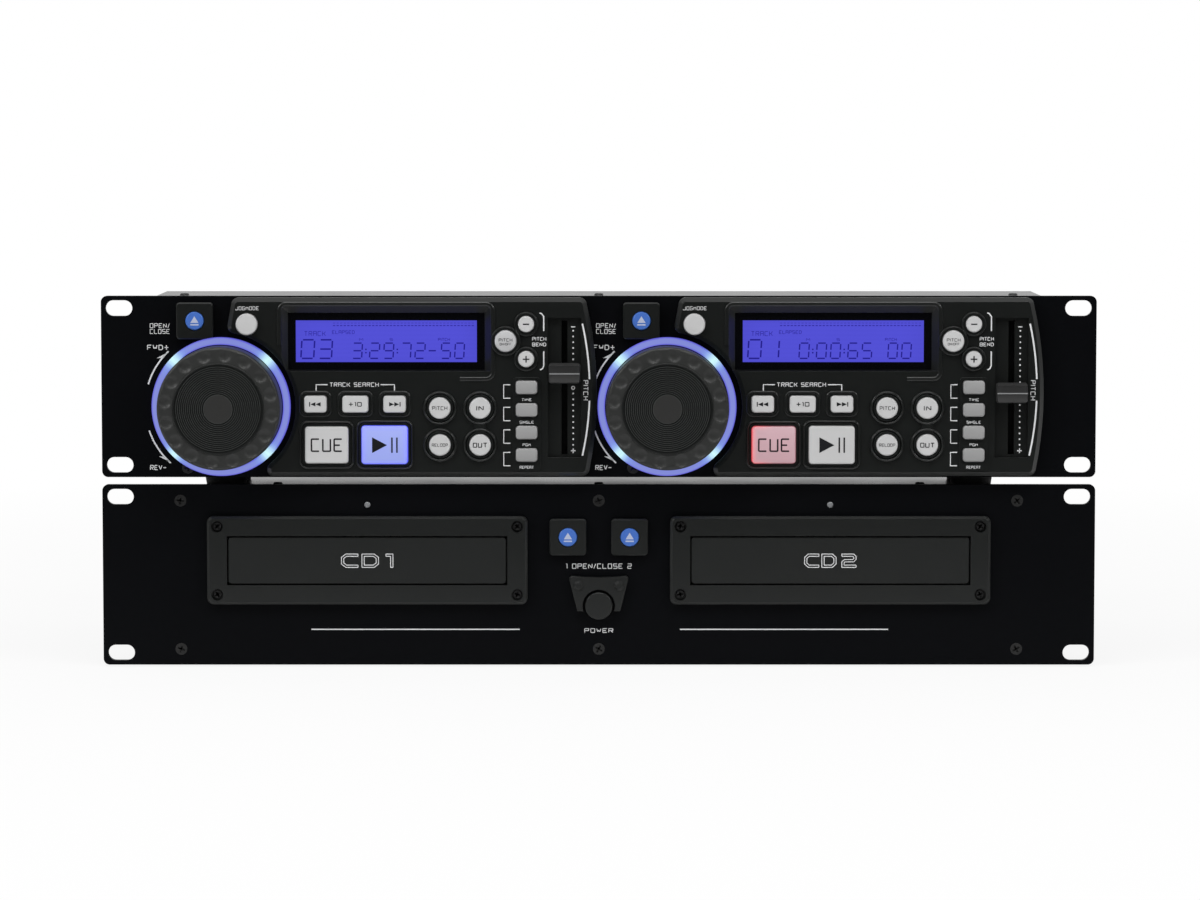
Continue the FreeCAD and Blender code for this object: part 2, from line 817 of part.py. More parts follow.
for index in range(int(number("vent_count"))):
    vents.rectangle(f"vent_start + {index} * vent_pitch", f"({drive_wall}) / 2", "vent_width", "vent_height")
drive_tray.pocket(vents, "drive_width")
keep("drive_chassis", cut("drive_chassis_cut", drive_tray.body, panel_screws + bezel_screws))

deck_tray, deck_wall, deck_length = housing(
    "deck_housing", DECK_FLOOR, DECK_LID, "deck_unit_width", "deck_unit_depth", 0
)
keep("control_chassis", cut("deck_housing_cut", deck_tray.body, deck_screws))

drive_cover = block(
    "drive_cover_plate", "0", PANEL_BACK, f"{DRIVE_LID} - sheet", "drive_width", drive_length, "sheet"
)
drive_cover = cut("drive_cover_cut", drive_cover, drive_lid_screws)
deck_cover = block(
    "deck_cover_plate", "0", PANEL_BACK, f"{DECK_LID} - sheet", "deck_unit_width", deck_length, "sheet"
)
deck_cover = cut("deck_cover_cut", deck_cover, deck_lid_screws)
group("top_covers", [drive_cover, deck_cover])

def foot(name, x, depth, z, height):
    """Rubber foot that narrows downwards, with the hollow for its screw."""
    rubber = doc.addObject("Part::Cone", name + "_rubber")
    drive(rubber, Radius1="foot_radius - foot_taper", Radius2="foot_radius", Height=height)
    place(rubber, x, f"{FACE} + {depth}", z)
    hollow = post(name + "_hollow", x, f"{FACE} + {depth}", z, "foot_hollow_radius", "foot_hollow_depth")
    return cut(name, rubber, [hollow])


feet = []
for side in (-1, 1):
    for rank, depth in enumerate(("foot_front", "drive_foot_rear")):
        feet.append(foot(f"drive_foot_{side + 1}{rank}", f"{side} * drive_foot_x", depth, "0", DRIVE_FLOOR))
    for rank, depth in enumerate(("foot_front", "deck_foot_rear")):
        feet.append(
            foot(
                f"deck_foot_{side + 1}{rank}", f"{side} * foot_x", depth, DRIVE_LID, f"{DECK_FLOOR} - {DRIVE_LID}"
            )
        )
group("feet", feet)


# ---------------------------------------------------------------- bezels and lenses
def tray_bezel(name, x):
    """Moulded frame round a tray mouth, with four sunk screw places."""
    bezel = Solid(name, x, FACE, TRAY_Z)
    frame = bezel.sketch()
    frame.rounded("0", "0", "bezel_width", "bezel_height", "bezel_corner")
    bezel.pad(frame, "bezel_rise")
    bezel.chamfer("bezel_edge", at_front(-number("bezel_rise")))
    mouth = bezel.sketch(forward="bezel_rise")
    mouth.rectangle("0", "0", "mouth_width", "mouth_height")
    for side in (-1, 1):
        for level in (-1, 1):
            mouth.circle(f"{side} * bezel_screw_x", f"{level} * bezel_screw_z", "screw_shank")
    bezel.pocket(mouth, "bezel_rise")
    sinks = bezel.sketch(forward="bezel_rise")
    for side in (-1, 1):
        for level in (-1, 1):
            sinks.circle(f"{side} * bezel_screw_x", f"{level} * bezel_screw_z", "cap_head + key_gap")
    bezel.pocket(sinks, "bezel_screw_sink + cap_head_rise")
    return bezel.body


def square_bezel(name, x, z):
    """Small moulded plate round one round button."""
    bezel = Solid(name, x, FACE, z)
    frame = bezel.sketch()
    frame.rounded("0", "0", "square_bezel", "square_bezel", "square_bezel_corner")
    bezel.pad(frame, "square_bezel_rise")
    bezel.chamfer("key_edge", at_front(-number("square_bezel_rise")))
    bore = bezel.sketch(forward="square_bezel_rise")
    bore.circle("0", "0", "small_button_radius + key_gap")
    bezel.pocket(bore, "square_bezel_rise")
    return bezel.body


def power_saddle():
    """Horned plate that sits over the power button."""
    plate = Solid("saddle_plate", "0", FACE, DRIVE_FOOT)
    outline = plate.sketch()
    top, low = number("saddle_top"), number("saddle_foot")
    wide, narrow = number("saddle_width") / 2, number("saddle_foot_width") / 2
    corners = [(-narrow, low), (narrow, low), (wide, top), (-wide, top)]
    sides = [outline.line(corners[index], corners[(index + 1) % 4]) for index in range(4)]
    for index in range(4):
        outline.tie("Coincident", sides[index], 2, sides[(index + 1) % 4], 1)
    outline.at(sides[0], 1, "-saddle_foot_width / 2", "saddle_foot")
    outline.at(sides[1], 1, "saddle_foot_width / 2", "saddle_foot")
    outline.at(sides[2], 1, "saddle_width / 2", "saddle_top")
    outline.at(sides[3], 1, "-saddle_width / 2", "saddle_top")
    plate.pad(outline, "saddle_rise")
    doc.recompute()
    shoulders = [(-wide, top), (wide, top)]
    plate.fillet("square_bezel_corner", lambda edge: along_y(edge, shoulders))
    plate.chamfer("key_edge", at_front(-number("saddle_rise")))
    arc = plate.sketch(forward="saddle_rise")
    arc.circle("0", "power_z", "saddle_arc")
    plate.pocket(arc, "saddle_rise")
    dip_z = f"{DRIVE_FOOT} + saddle_top - saddle_dip + saddle_dip_radius"
    dip = rod("saddle_dip", "0", f"{FACE} - 2 * saddle_rise", dip_z, "saddle_dip_radius", "3 * saddle_rise")
    return cut("power_saddle", plate.body, [dip])


bezels = [tray_bezel(f"tray_bezel_{side + 1}", f"{side} * tray_x") for side in (-1, 1)]
bezels += [
    square_bezel(f"eject_bezel_{side + 1}", f"{side} * eject_x", f"{DRIVE_FOOT} + eject_z") for side in (-1, 1)
]
for deck in (0, 1):
    axis = f"jog_left + {deck} * deck_pitch"
    plate = square_bezel(f"open_plate_{deck}", f"{axis} + open_x", f"{DECK_FOOT} + open_z")
    ring_room = rod(
        f"ring_room_{deck}", axis, f"{FACE} - 2 * square_bezel_rise", f"{DECK_FOOT} + jog_z", "ring_outer + ring_gap",
        "3 * square_bezel_rise"
    )
    bezels.append(cut(f"open_bezel_{deck}", plate, [ring_room]))
bezels.append(power_saddle())
for side in (-1, 1):
    bezels.append(
        taper(
            f"saddle_dome_{side + 1}", f"{side} * dome_x", f"{FACE} - saddle_rise - dome_rise", f"{DRIVE_FOOT} + dome_z",
            "dome_radius - dome_rise", "dome_radius", "dome_rise"
        )
    )
group("panel_bezels", bezels)


def light_ring(name, x):
    """Clear ring round a jog wheel that shines with its deck."""
    ring = Solid(name, x, FACE, f"{DECK_FOOT} + jog_z")
    outline = ring.sketch()
    outline.circle("0", "0", "ring_outer")
    outline.circle("0", "0", "ring_inner")
    ring.pad(outline, "ring_rise")
    ring.chamfer("ring_edge", at_front(-number("ring_rise")))
    return ring.body


lenses = [light_ring(f"light_ring_{deck}", f"jog_left + {deck} * deck_pitch") for deck in (0, 1)]
lenses += [
    rod(f"tray_lamp_{side + 1}", f"{side} * tray_x", f"{FACE} - lamp_rise", f"{DRIVE_FOOT} + lamp_z", "lamp_radius",
        "lamp_rise + panel_thick")
    for side in (-1, 1)
]
group("lit_lenses", lenses)


# ---------------------------------------------------------------- deck fascias
def heel_level():
    """Height at which the scoop of the fascia meets its heel."""
    return number("jog_z - sqrt(fascia_arc ^ 2 - fascia_heel ^ 2)")


def fascia_outline(outline):
    """Left side scooped round the jog wheel, right side bulged."""
    arc, axis = number("fascia_arc"), number("jog_z")
    top, foot = number("fascia_top"), number("fascia_foot")
    heel, slant = number("fascia_heel"), number("fascia_slant_foot")
    heel_z = heel_level()
    slant_z = axis + math.sqrt(arc ** 2 - slant ** 2)
    high_right = (number("fascia_right_top"), top)
    low_right = (number("fascia_right_foot"), foot)
    chord_x, chord_z = high_right[0] - low_right[0], high_right[1] - low_right[1]
    chord = math.hypot(chord_x, chord_z)
    bulge = number("fascia_bulge")
    reach = math.sqrt(bulge ** 2 - chord ** 2 / 4) / chord
    middle = (
        (high_right[0] + low_right[0]) / 2 - reach * chord_z,
        (high_right[1] + low_right[1]) / 2 + reach * chord_x,
    )

    def turn(centre, point):
        return math.atan2(point[1] - centre[1], point[0] - centre[0])

    crown = outline.line((number("fascia_slant_top"), top), high_right)
    right = outline.arc(middle, bulge, turn(middle, low_right), turn(middle, high_right))
    base = outline.line(low_right, (heel, foot))
    step = outline.line((heel, foot), (heel, heel_z))
    scoop = outline.arc((0, axis), arc, turn((0, axis), (heel, heel_z)), turn((0, axis), (slant, slant_z)))
    slope = outline.line((slant, slant_z), (number("fascia_slant_top"), top))
    for first, end, second, start in (
        (crown, 2, right, 2), (right, 1, base, 1), (base, 2, step, 1),
        (step, 2, scoop, 1), (scoop, 2, slope, 1), (slope, 2, crown, 1),
    ):
        outline.tie("Coincident", first, end, second, start)
    outline.tie("Vertical", step)
    outline.limit("Radius", right, formula="fascia_bulge")
    outline.limit("Radius", scoop, formula="fascia_arc")
    outline.tie("PointOnObject", scoop, 3, -2)
    outline.at(scoop, 3, z="jog_z")
    outline.at(crown, 1, "fascia_slant_top", "fascia_top")
    outline.at(crown, 2, "fascia_right_top", "fascia_top")
    outline.at(base, 1, "fascia_right_foot", "fascia_foot")
    outline.at(base, 2, "fascia_heel", "fascia_foot")
    outline.at(slope, 1, x="fascia_slant_foot")


def deck_fascia(name, axis):
    """Raised moulding that carries the display and all keys of one deck."""
    fascia = Solid(name, axis, FACE, DECK_FOOT)
    outline = fascia.sketch()
    fascia_outline(outline)
    fascia.pad(outline, "fascia_rise")
    heel = [(number("fascia_heel"), number("fascia_foot")), (number("fascia_heel"), heel_level())]
    fascia.fillet("fascia_corner", lambda edge: along_y(edge) and not along_y(edge, heel))
    fascia.fillet("heel_corner", lambda edge: along_y(edge, heel))
    fascia.chamfer("fascia_bevel", at_front(-number("fascia_rise")))

    for keys in (SEARCH_KEYS, START_KEYS):
        rims = fascia.sketch(forward="fascia_rise")
        for key in keys:
            x, z, shape = FASCIA_KEYS[key]
            shape(rims, x, z, "rim_margin")
        fascia.pad(rims, "rim_rise")
    strip = fascia.sketch(forward="fascia_rise")
    strip.rounded("list_x", "strip_z", "strip_width", "strip_height", "key_corner")
    fascia.pad(strip, "rim_rise")
    for keys in (WIDE_COLLARS, SMALL_COLLARS):
        collars = fascia.sketch(forward="fascia_rise")
        for key in keys:
            x, z, shape = FASCIA_KEYS[key]
            shape(collars, x, z, "collar_margin")
        fascia.pad(collars, "collar_rise", "collar_draft")
    waist = fascia.sketch(forward="fascia_rise")
    waist.rectangle(
        "loop_right_x", "(loop_high_z + loop_low_z) / 2", "round_key_radius", "loop_high_z - loop_low_z"
    )
    fascia.pad(waist, "collar_rise")

    mouth = fascia.sketch(forward="fascia_rise")
    mouth.rectangle(
        "screen_x", "screen_z + (screen_flare_top - screen_flare_foot) / 2", "screen_width + 2 * screen_flare",
        "screen_height + screen_flare_top + screen_flare_foot"
    )
    throat = fascia.sketch(forward="fascia_rise - screen_sink")
    throat.rectangle("screen_x", "screen_z", "screen_width", "screen_height")
    funnel = fascia.body.newObject("PartDesign::SubtractiveLoft", name + "_funnel")
    funnel.Profile = mouth.finish()
    funnel.Sections = [throat.finish()]
    fascia.body.Tip = funnel
    seat = fascia.sketch(forward="fascia_rise - screen_sink")
    seat.rectangle("screen_x", "screen_z", "screen_width", "screen_height")
    fascia.pocket(seat, "screen_thick")
    light = fascia.sketch(forward="fascia_rise - screen_sink - screen_thick")
    light.rectangle("screen_x", "screen_z", "glass_width", "glass_height")
    fascia.pocket(light, "fascia_rise")

    bed = fascia.sketch(forward="fascia_rise")
    bed.rectangle("fader_x", "fader_z", "fader_bed_width", "fader_bed_height")
    fascia.pocket(bed, "fader_bed_sink")
    slot = fascia.sketch(forward="fascia_rise")
    slot.rectangle("fader_x", "fader_z", "fader_slot_width", "fader_slot_height")
    fascia.pocket(slot, "fascia_rise")
    for keys in (ROUND_KEYS, SEARCH_KEYS, START_KEYS, LIST_KEYS):
        holes = fascia.sketch(forward="fascia_rise + collar_rise")
        for key in keys:
            x, z, shape = FASCIA_KEYS[key]
            shape(holes, x, z, "key_gap")
        fascia.pocket(holes, "fascia_rise + collar_rise")
    return fascia.body


# ---------------------------------------------------------------- jog wheels and faders
def jog_wheel(node, axis):
    """Wheel with finger dimples on a shaft, and its grooved pad."""
    wheel = Solid(node + "_wheel", axis, FACE, f"{DECK_FOOT} + jog_z")
    face = "jog_reach - pad_rise"
    disc = wheel.sketch(forward="wheel_back")
    disc.circle("0", "0", "wheel_radius")
    wheel.pad(disc, f"{face} - wheel_back")
    shaft = wheel.sketch(forward="-panel_thick - shaft_back")
    shaft.circle("0", "0", "shaft_radius")
    wheel.pad(shaft, "panel_thick + shaft_back + wheel_back")
    wheel.chamfer("wheel_rim", at_front(-number(face)))
    dimples = []
    for index in range(int(number("dimple_count"))):
        turn = f"(dimple_phase + {index} * 360 / dimple_count)"
        ball = doc.addObject("Part::Sphere", f"{node}_dimple{index}")
        drive(ball, Radius="dimple_radius")
        place(
            ball, f"{axis} + dimple_ring * sin({turn} * 1 deg)", f"{FACE} - {face} - dimple_radius + dimple_depth",
            f"{DECK_FOOT} + jog_z + dimple_ring * cos({turn} * 1 deg)"
        )
        dimples.append(ball)
    dimpled = cut(node + "_dimpled", wheel.body, dimples)

    pad = Solid(node + "_pad", axis, FACE, f"{DECK_FOOT} + jog_z")
    disc = pad.sketch(forward=face)
    disc.circle("0", "0", "pad_radius")
    pad.pad(disc, "pad_rise")
    grooves = pad.sketch(forward="jog_reach")
    for index in range(int(number("pad_groove_count"))):
        inner = f"pad_middle + {index} * (pad_radius - pad_middle) / pad_groove_count"
        grooves.circle("0", "0", inner)
        grooves.circle("0", "0", f"{inner} + pad_groove_width")
    pad.pocket(grooves, "pad_groove_depth")
    return group(node, [dimpled, pad.body])


def pitch_fader(node, axis, setting):
    """Scooped cap on a flat lever that runs in the fader slot."""
    cap = Solid(node + "_cap", f"{axis} + fader_x", FACE, f"{DECK_FOOT} + fader_z + {setting}")
    block_outline = cap.sketch(forward="fascia_rise + fader_cap_lift")
    block_outline.rounded("0", "0", "fader_cap_width", "fader_cap_height", "key_corner")
    cap.pad(block_outline, "fader_cap_reach - fascia_rise - fader_cap_lift", "fader_cap_draft")
    lever = cap.sketch(forward="-lever_back")
    lever.rectangle("0", "0", "lever_width", "lever_height")
    cap.pad(lever, "lever_back + fascia_rise + fader_cap_lift")
    scoop = doc.addObject("Part::Cylinder", node + "_scoop")
    scoop.Placement.Rotation = FreeCAD.Rotation(FreeCAD.Vector(0, 1, 0), 90)
    drive(scoop, Radius="fader_scoop", Height="2 * fader_cap_width")
    place(
        scoop, f"{axis} + fader_x - fader_cap_width", f"{FACE} - fader_cap_reach - fader_scoop + fader_waist",
        f"{DECK_FOOT} + fader_z + {setting}"
    )
    return keep(node, cut(node + "_scooped", cap.body, [scoop]))


fascias = []
windows = []
boards = []
for deck in (0, 1):
    tag = deck + 1
    axis = f"jog_left + {deck} * deck_pitch"
    fascias.append(deck_fascia(f"fascia_{tag}", axis))
    windows.append(
        block(
            f"window_{tag}", f"{axis} + screen_x", f"{FASCIA_FACE} + screen_sink",
            f"{DECK_FOOT} + screen_z - screen_height / 2", "screen_width", "screen_thick", "screen_height"
        )
    )
    jog_wheel(f"jog_wheel_{tag}", axis)
    pitch_fader(f"pitch_fader_{tag}", axis, f"fader_set_{tag}")
    for key, (x, z, shape) in FASCIA_KEYS.items():
        place_x, place_z = f"{axis} + {x}", f"{DECK_FOOT} + {z}"
        push_button(f"{key}_{tag}", place_x, place_z, shape, "fascia_rise + key_rise", "0")
        boards.append(switch(f"switch_{key}_{tag}", place_x, place_z, "0"))
    place_x, place_z = f"{axis} + open_x", f"{DECK_FOOT} + open_z"
    push_button(f"open_close_{tag}", place_x, place_z, SMALL, "square_bezel_rise + key_edge", "panel_thick")
    boards.append(switch(f"switch_open_{tag}", place_x, place_z, "panel_thick"))

    board_x = f"{axis} + board_x"
    boards.append(
        block(
            f"deck_board_{tag}", board_x, f"{PANEL_BACK} + board_back", f"{DECK_FOOT} + board_foot", "board_width",
            "board_thick", "board_height"
        )
    )
    for side in (-1, 1):
        for level in (-1, 1):
            boards.append(
                rod(
                    f"spacer_{tag}{side}{level}", f"{board_x} + {side} * (board_width / 2 - board_hold)", PANEL_BACK,
                    f"{DECK_FOOT} + board_foot + board_height / 2 + {level} * (board_height / 2 - board_grip)",
                    "screw_shank", "board_back"
                )
            )
    boards.append(
        block(
            f"display_module_{tag}", f"{axis} + screen_x", f"{FASCIA_FACE} + screen_sink + screen_thick",
            f"{DECK_FOOT} + screen_z - glass_height / 2", "glass_width",
            "fascia_rise - screen_sink - screen_thick + panel_thick + board_back", "glass_height"
        )
    )
    boards.append(
        block(
            f"fader_track_{tag}", f"{axis} + fader_x", f"{PANEL_BACK} + key_gap",
            f"{DECK_FOOT} + fader_z - fader_slot_height / 2", "lever_height", "board_back - key_gap",
            "fader_slot_height"
        )
    )
group("deck_fascias", fascias)
group("display_windows", windows)


# ---------------------------------------------------------------- disc trays and loaders
def disc_tray(node, x):
    """Sliding tray with its disc recess, and the door on its front."""
    plate = Solid(node + "_plate", x, TRAY_FRONT, TRAY_FOOT)
    outline = plate.sketch("XY_Plane")
    outline.rounded("0", f"{TRAY_LENGTH} / 2", "tray_width", TRAY_LENGTH, "bezel_corner")
    plate.pad(outline, "tray_thick")
    wide = plate.sketch("XY_Plane", "tray_thick")
    wide.circle("0", "disc_middle", "disc_radius")
    plate.pocket(wide, "disc_sink")
    narrow = plate.sketch("XY_Plane", "tray_thick")
    narrow.circle("0", "disc_middle", "small_disc_radius")
    plate.pocket(narrow, "disc_sink + small_disc_sink")
    slot = plate.sketch("XY_Plane", "tray_thick")
    slot.rounded(
        "0", "disc_middle + (hub_slot_length - hub_slot_width) / 2", "hub_slot_width", "hub_slot_length",
        "hub_slot_width / 2 - key_edge"
    )
    plate.pocket(slot, "tray_thick")
    door = Solid(node + "_door", x, TRAY_FRONT, TRAY_Z)
    outline = door.sketch()
    outline.rounded("0", "0", "door_width", "door_height", "square_bezel_corner")
    door.pad(outline, "door_thick")
    door.chamfer("key_edge", at_front(-number("door_thick")))
    return group(node, [plate.body, door.body])


def loader(name, x):
    """Channel that guides one tray, with its bridge, turntable, motors and legs."""
    front = f"{PANEL_BACK} + loader_front"
    floor = f"{DRIVE_FOOT} + loader_floor"
    height = "loader_top - loader_floor"
    shell = block(name + "_shell", x, front, floor, "loader_width", TRAY_LENGTH, height)
    channel = block(
        name + "_channel", x, f"{front} - loader_skin", f"{floor} + loader_skin", "tray_width + 2 * tray_clear",
        f"{TRAY_LENGTH} + 2 * loader_skin", height
    )
    frame = cut(name + "_frame", shell, [channel])
    middle = f"{TRAY_FRONT} + disc_middle"
    bridge = block(
        name + "_bridge", x, f"{middle} - bridge_depth / 2", f"{DRIVE_FOOT} + loader_top", "loader_width",
        "bridge_depth", "loader_skin"
    )
    clamp = post(
        name + "_clamp", x, middle, f"{DRIVE_FOOT} + loader_top - clamp_drop", "turntable_radius", "clamp_drop"
    )
    table_height = f"{TRAY_FOOT} - {DRIVE_FOOT} - loader_floor - loader_skin - tray_clear"
    table = post(name + "_turntable", x, middle, f"{floor} + loader_skin", "turntable_radius", table_height)
    motor = post(name + "_motor", x, middle, f"{floor} - motor_height", "motor_radius", "motor_height")
    feed = post(
        name + "_feed_motor", f"{x} + loader_width / 2 - 2 * motor_radius", f"{front} + 2 * motor_radius",
        f"{floor} - motor_height", "feed_motor_radius", "motor_height"
    )
    legs = [
        block(
            f"{name}_leg{side}{rank}", f"{x} + {side} * (loader_width / 2 - leg_size)",
            f"{front} + {rank} * ({TRAY_LENGTH} - leg_size)", f"{DRIVE_FLOOR} + sheet", "leg_size", "leg_size",
            "loader_floor - floor_inset - sheet"
        )
        for side in (-1, 1)
        for rank in (0, 1)
    ]
    return [frame, bridge, clamp, table, motor, feed] + legs


loaders = []
for tag, side in ((1, -1), (2, 1)):
    disc_tray(f"disc_tray_{tag}", f"{side} * tray_x")
    loaders += loader(f"loader_{tag}", f"{side} * tray_x")
    push_button(
        f"eject_button_{tag}", f"{side} * eject_x", f"{DRIVE_FOOT} + eject_z", SMALL, "square_bezel_rise + key_edge",
        "panel_thick + sheet"
    )
group("disc_mechanisms", loaders)
push_button("power_button", "0", f"{DRIVE_FOOT} + power_z", POWER, "power_rise", "panel_thick + sheet")


# ---------------------------------------------------------------- electronics and sockets
DRIVE_REAR = f"({FACE} + drive_depth)"
DECK_REAR = f"({FACE} + deck_unit_depth)"
BOARD_Z = f"({DRIVE_FLOOR} + sheet + spacer_height)"
boards.append(
    block(
        "main_board", "0", f"{DRIVE_REAR} - sheet - main_board_depth", BOARD_Z, "main_board_width", "main_board_depth",
        "board_thick"
    )
)
boards.append(
    block(
        "supply_board", "0", f"{PANEL_BACK} + supply_front", BOARD_Z, "supply_width", "supply_length", "board_thick"
    )
)
boards.append(
    block(
        "transformer", "0", f"{PANEL_BACK} + supply_front + supply_length / 4", f"{BOARD_Z} + board_thick",
        "supply_width - 3 * spacer_height", "supply_length / 2", "supply_width / 2"
    )
)
for side in (-1, 1):
    for rank in (0, 1):
        boards.append(
            post(
                f"main_spacer{side}{rank}", f"{side} * (main_board_width / 2 - board_hold)",
                f"{DRIVE_REAR} - sheet - board_hold - {rank} * (main_board_depth - 2 * board_hold)",
                f"{DRIVE_FLOOR} + sheet", "screw_shank", "spacer_height"
            )
        )
        boards.append(
            post(
                f"supply_spacer{side}{rank}", f"{side} * (supply_width / 2 - board_hold)",
                f"{PANEL_BACK} + supply_front + board_hold + {rank} * (supply_length - 2 * board_hold)",
                f"{DRIVE_FLOOR} + sheet", "screw_shank", "spacer_height"
            )
        )
boards.append(
    block(
        "front_board", "0", f"{PANEL_BACK} + board_back", f"{DRIVE_FLOOR} + sheet", "supply_width", "board_thick",
        "front_board_height"
    )
)
for tag, side in ((1, -1), (2, 1)):
    boards.append(
        switch(f"switch_eject_{tag}", f"{side} * eject_x", f"{DRIVE_FOOT} + eject_z", "panel_thick + sheet")
    )
boards.append(switch("switch_power", "0", f"{DRIVE_FOOT} + power_z", "panel_thick + sheet"))
group("circuit_boards", boards)


def phono_socket(name, x, z):
    """Barrel of one phono output with its bore."""
    barrel = rod(name + "_barrel", x, DRIVE_REAR, z, "phono_radius", "jack_reach")
    bore = rod(name + "_bore", x, f"{DRIVE_REAR} + jack_reach / 4", z, "phono_bore", "jack_reach")
    return cut(name, barrel, [bore])


DRIVE_ROW = f"({DRIVE_FOOT} + rear_row_z)"
DECK_ROW = f"({DECK_FOOT} + rear_row_z)"
sockets = [
    phono_socket(f"phono_{rank}{level}", f"phono_x + {rank} * phono_pitch", f"{DRIVE_ROW} + {level} * phono_pitch")
    for rank in (0, 1, 2)
    for level in (0, 1)
]
for side in (-1, 1):
    link_x = f"{side} * din_x"
    sockets.append(rod(f"drive_link_{side + 1}", link_x, DRIVE_REAR, DRIVE_ROW, "din_radius", "din_rise"))
    sockets.append(rod(f"deck_link_{side + 1}", link_x, DECK_REAR, DECK_ROW, "din_radius", "din_rise"))
INLET_FRONT = f"({DRIVE_REAR} - inlet_depth)"
inlet_shell = block(
    "inlet_shell", "inlet_x", INLET_FRONT, f"{DRIVE_ROW} - inlet_height / 2", "inlet_width", "inlet_depth",
    "inlet_height"
)
inlet_cavity = block(
    "inlet_cavity", "inlet_x", f"{INLET_FRONT} + inlet_wall", f"{DRIVE_ROW} - inlet_height / 2 + inlet_wall",
    "inlet_width - 2 * inlet_wall", "inlet_depth", "inlet_height - 2 * inlet_wall"
)
inlet_pins = [
    block(
        f"inlet_pin_{pin + 1}", f"inlet_x + {pin} * inlet_pin_pitch", f"{INLET_FRONT} + inlet_wall / 2",
        f"{DRIVE_ROW} + {abs(pin)} * inlet_wall - 2 * inlet_wall", "inlet_wall", "inlet_pin_length + inlet_wall / 2",
        "2 * inlet_wall"
    )
    for pin in (-1, 0, 1)
]
keep("mains_inlet", fuse("inlet_with_pins", [cut("inlet_hollow", inlet_shell, [inlet_cavity])] + inlet_pins))
group("rear_sockets", sockets)


# ---------------------------------------------------------------- checks and export
doc.recompute()
for obj in doc.Objects:
    if "Invalid" in obj.State or "Error" in obj.State:
        raise RuntimeError(f"{obj.Label} did not build: {obj.State}")
os.makedirs("parts", exist_ok=True)
for node, obj in NODES:
    if obj.Shape.isNull() or not obj.Shape.isValid() or not obj.Shape.Solids:
        raise RuntimeError(f"{node} is not a valid solid")
for node, obj in NODES:
    obj.Shape.exportStep(f"parts/{node}.step")
print(f"{len(NODES)} nodes")
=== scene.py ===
"""Dual disc player in two 19 inch rack units, dressed over its solid frame.

The upper unit carries two control decks, the lower one two disc trays. Lengths are written in
millimetres and turned into metres where a mesh is made. X runs to the right, Z up, and the
fronts face -Y.
"""

import logging
import math
from collections.abc import Callable, Iterable, Sequence
from dataclasses import dataclass, field
from enum import Enum
from functools import partial
from typing import ClassVar

import bmesh
import bpy
from mathutils import Matrix, Vector
from mathutils.bvhtree import BVHTree


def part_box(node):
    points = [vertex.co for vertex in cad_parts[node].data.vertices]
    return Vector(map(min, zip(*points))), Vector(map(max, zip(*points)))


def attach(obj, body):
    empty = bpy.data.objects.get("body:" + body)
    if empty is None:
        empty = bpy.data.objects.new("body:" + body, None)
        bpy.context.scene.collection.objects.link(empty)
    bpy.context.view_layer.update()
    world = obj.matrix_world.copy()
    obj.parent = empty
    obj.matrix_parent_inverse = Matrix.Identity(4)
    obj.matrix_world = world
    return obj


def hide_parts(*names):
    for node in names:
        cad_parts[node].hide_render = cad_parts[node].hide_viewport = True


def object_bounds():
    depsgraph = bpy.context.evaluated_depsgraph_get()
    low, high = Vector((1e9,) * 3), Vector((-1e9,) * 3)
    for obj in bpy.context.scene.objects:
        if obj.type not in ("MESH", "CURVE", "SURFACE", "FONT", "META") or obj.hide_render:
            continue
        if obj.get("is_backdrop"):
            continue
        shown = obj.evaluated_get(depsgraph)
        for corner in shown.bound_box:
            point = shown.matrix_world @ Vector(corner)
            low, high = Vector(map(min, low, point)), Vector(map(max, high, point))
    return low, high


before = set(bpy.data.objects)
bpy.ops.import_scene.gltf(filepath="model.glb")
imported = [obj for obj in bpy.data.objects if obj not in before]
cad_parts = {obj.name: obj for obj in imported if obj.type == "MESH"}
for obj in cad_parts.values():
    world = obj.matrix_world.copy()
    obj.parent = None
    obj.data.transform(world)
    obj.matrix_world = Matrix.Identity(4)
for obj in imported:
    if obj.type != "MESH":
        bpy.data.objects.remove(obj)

logging.basicConfig(level=logging.INFO, format="%(message)s")
log = logging.getLogger("disc_player")

MM = 0.001
Colour = tuple[float, float, float]
Point = tuple[float, float]


# ------------------------------------------------------------------ node trees
def operator(operation: str, flipped: bool = False) -> Callable[["Signal", object], "Signal"]:
    """One of a Signal's arithmetic methods.

    Args:
        operation: the Math node's operation.
        flipped: whether the other value comes first.

    Returns:
        The method.
    """
    def method(wire: "Signal", other: object) -> "Signal":
        """The operation's result."""
        return wire.maths(operation, other, flipped)
    return method


class Signal:
    """A value on a wire of a node tree, with arithmetic."""

    __add__, __radd__ = operator("ADD"), operator("ADD", True)
    __sub__, __rsub__ = operator("SUBTRACT"), operator("SUBTRACT", True)
    __mul__, __rmul__ = operator("MULTIPLY"), operator("MULTIPLY", True)
    __truediv__, __rtruediv__ = operator("DIVIDE"), operator("DIVIDE", True)
    __pow__ = operator("POWER")

    def __init__(self, wiring: "Wiring", socket: bpy.types.NodeSocket) -> None:
        """Keeps the wire's tree and its socket."""
        self.wiring = wiring
        self.socket = socket

    def maths(self, operation: str, other: object = 0.0, flipped: bool = False) -> "Signal":
        """The result of one Math node, the other value first where flipped."""
        first, second = (other, self) if flipped else (self, other)
        return self.wiring.node("ShaderNodeMath", {"operation": operation}, {0: first, 1: second})

    def above(self, level: object) -> "Signal":
        """1 where the value is greater than level."""
        return self.maths("GREATER_THAN", level)

    def held(self) -> "Signal":
        """The value kept between 0 and 1."""
        return self.wiring.node("ShaderNodeClamp", {}, {"Value": self})


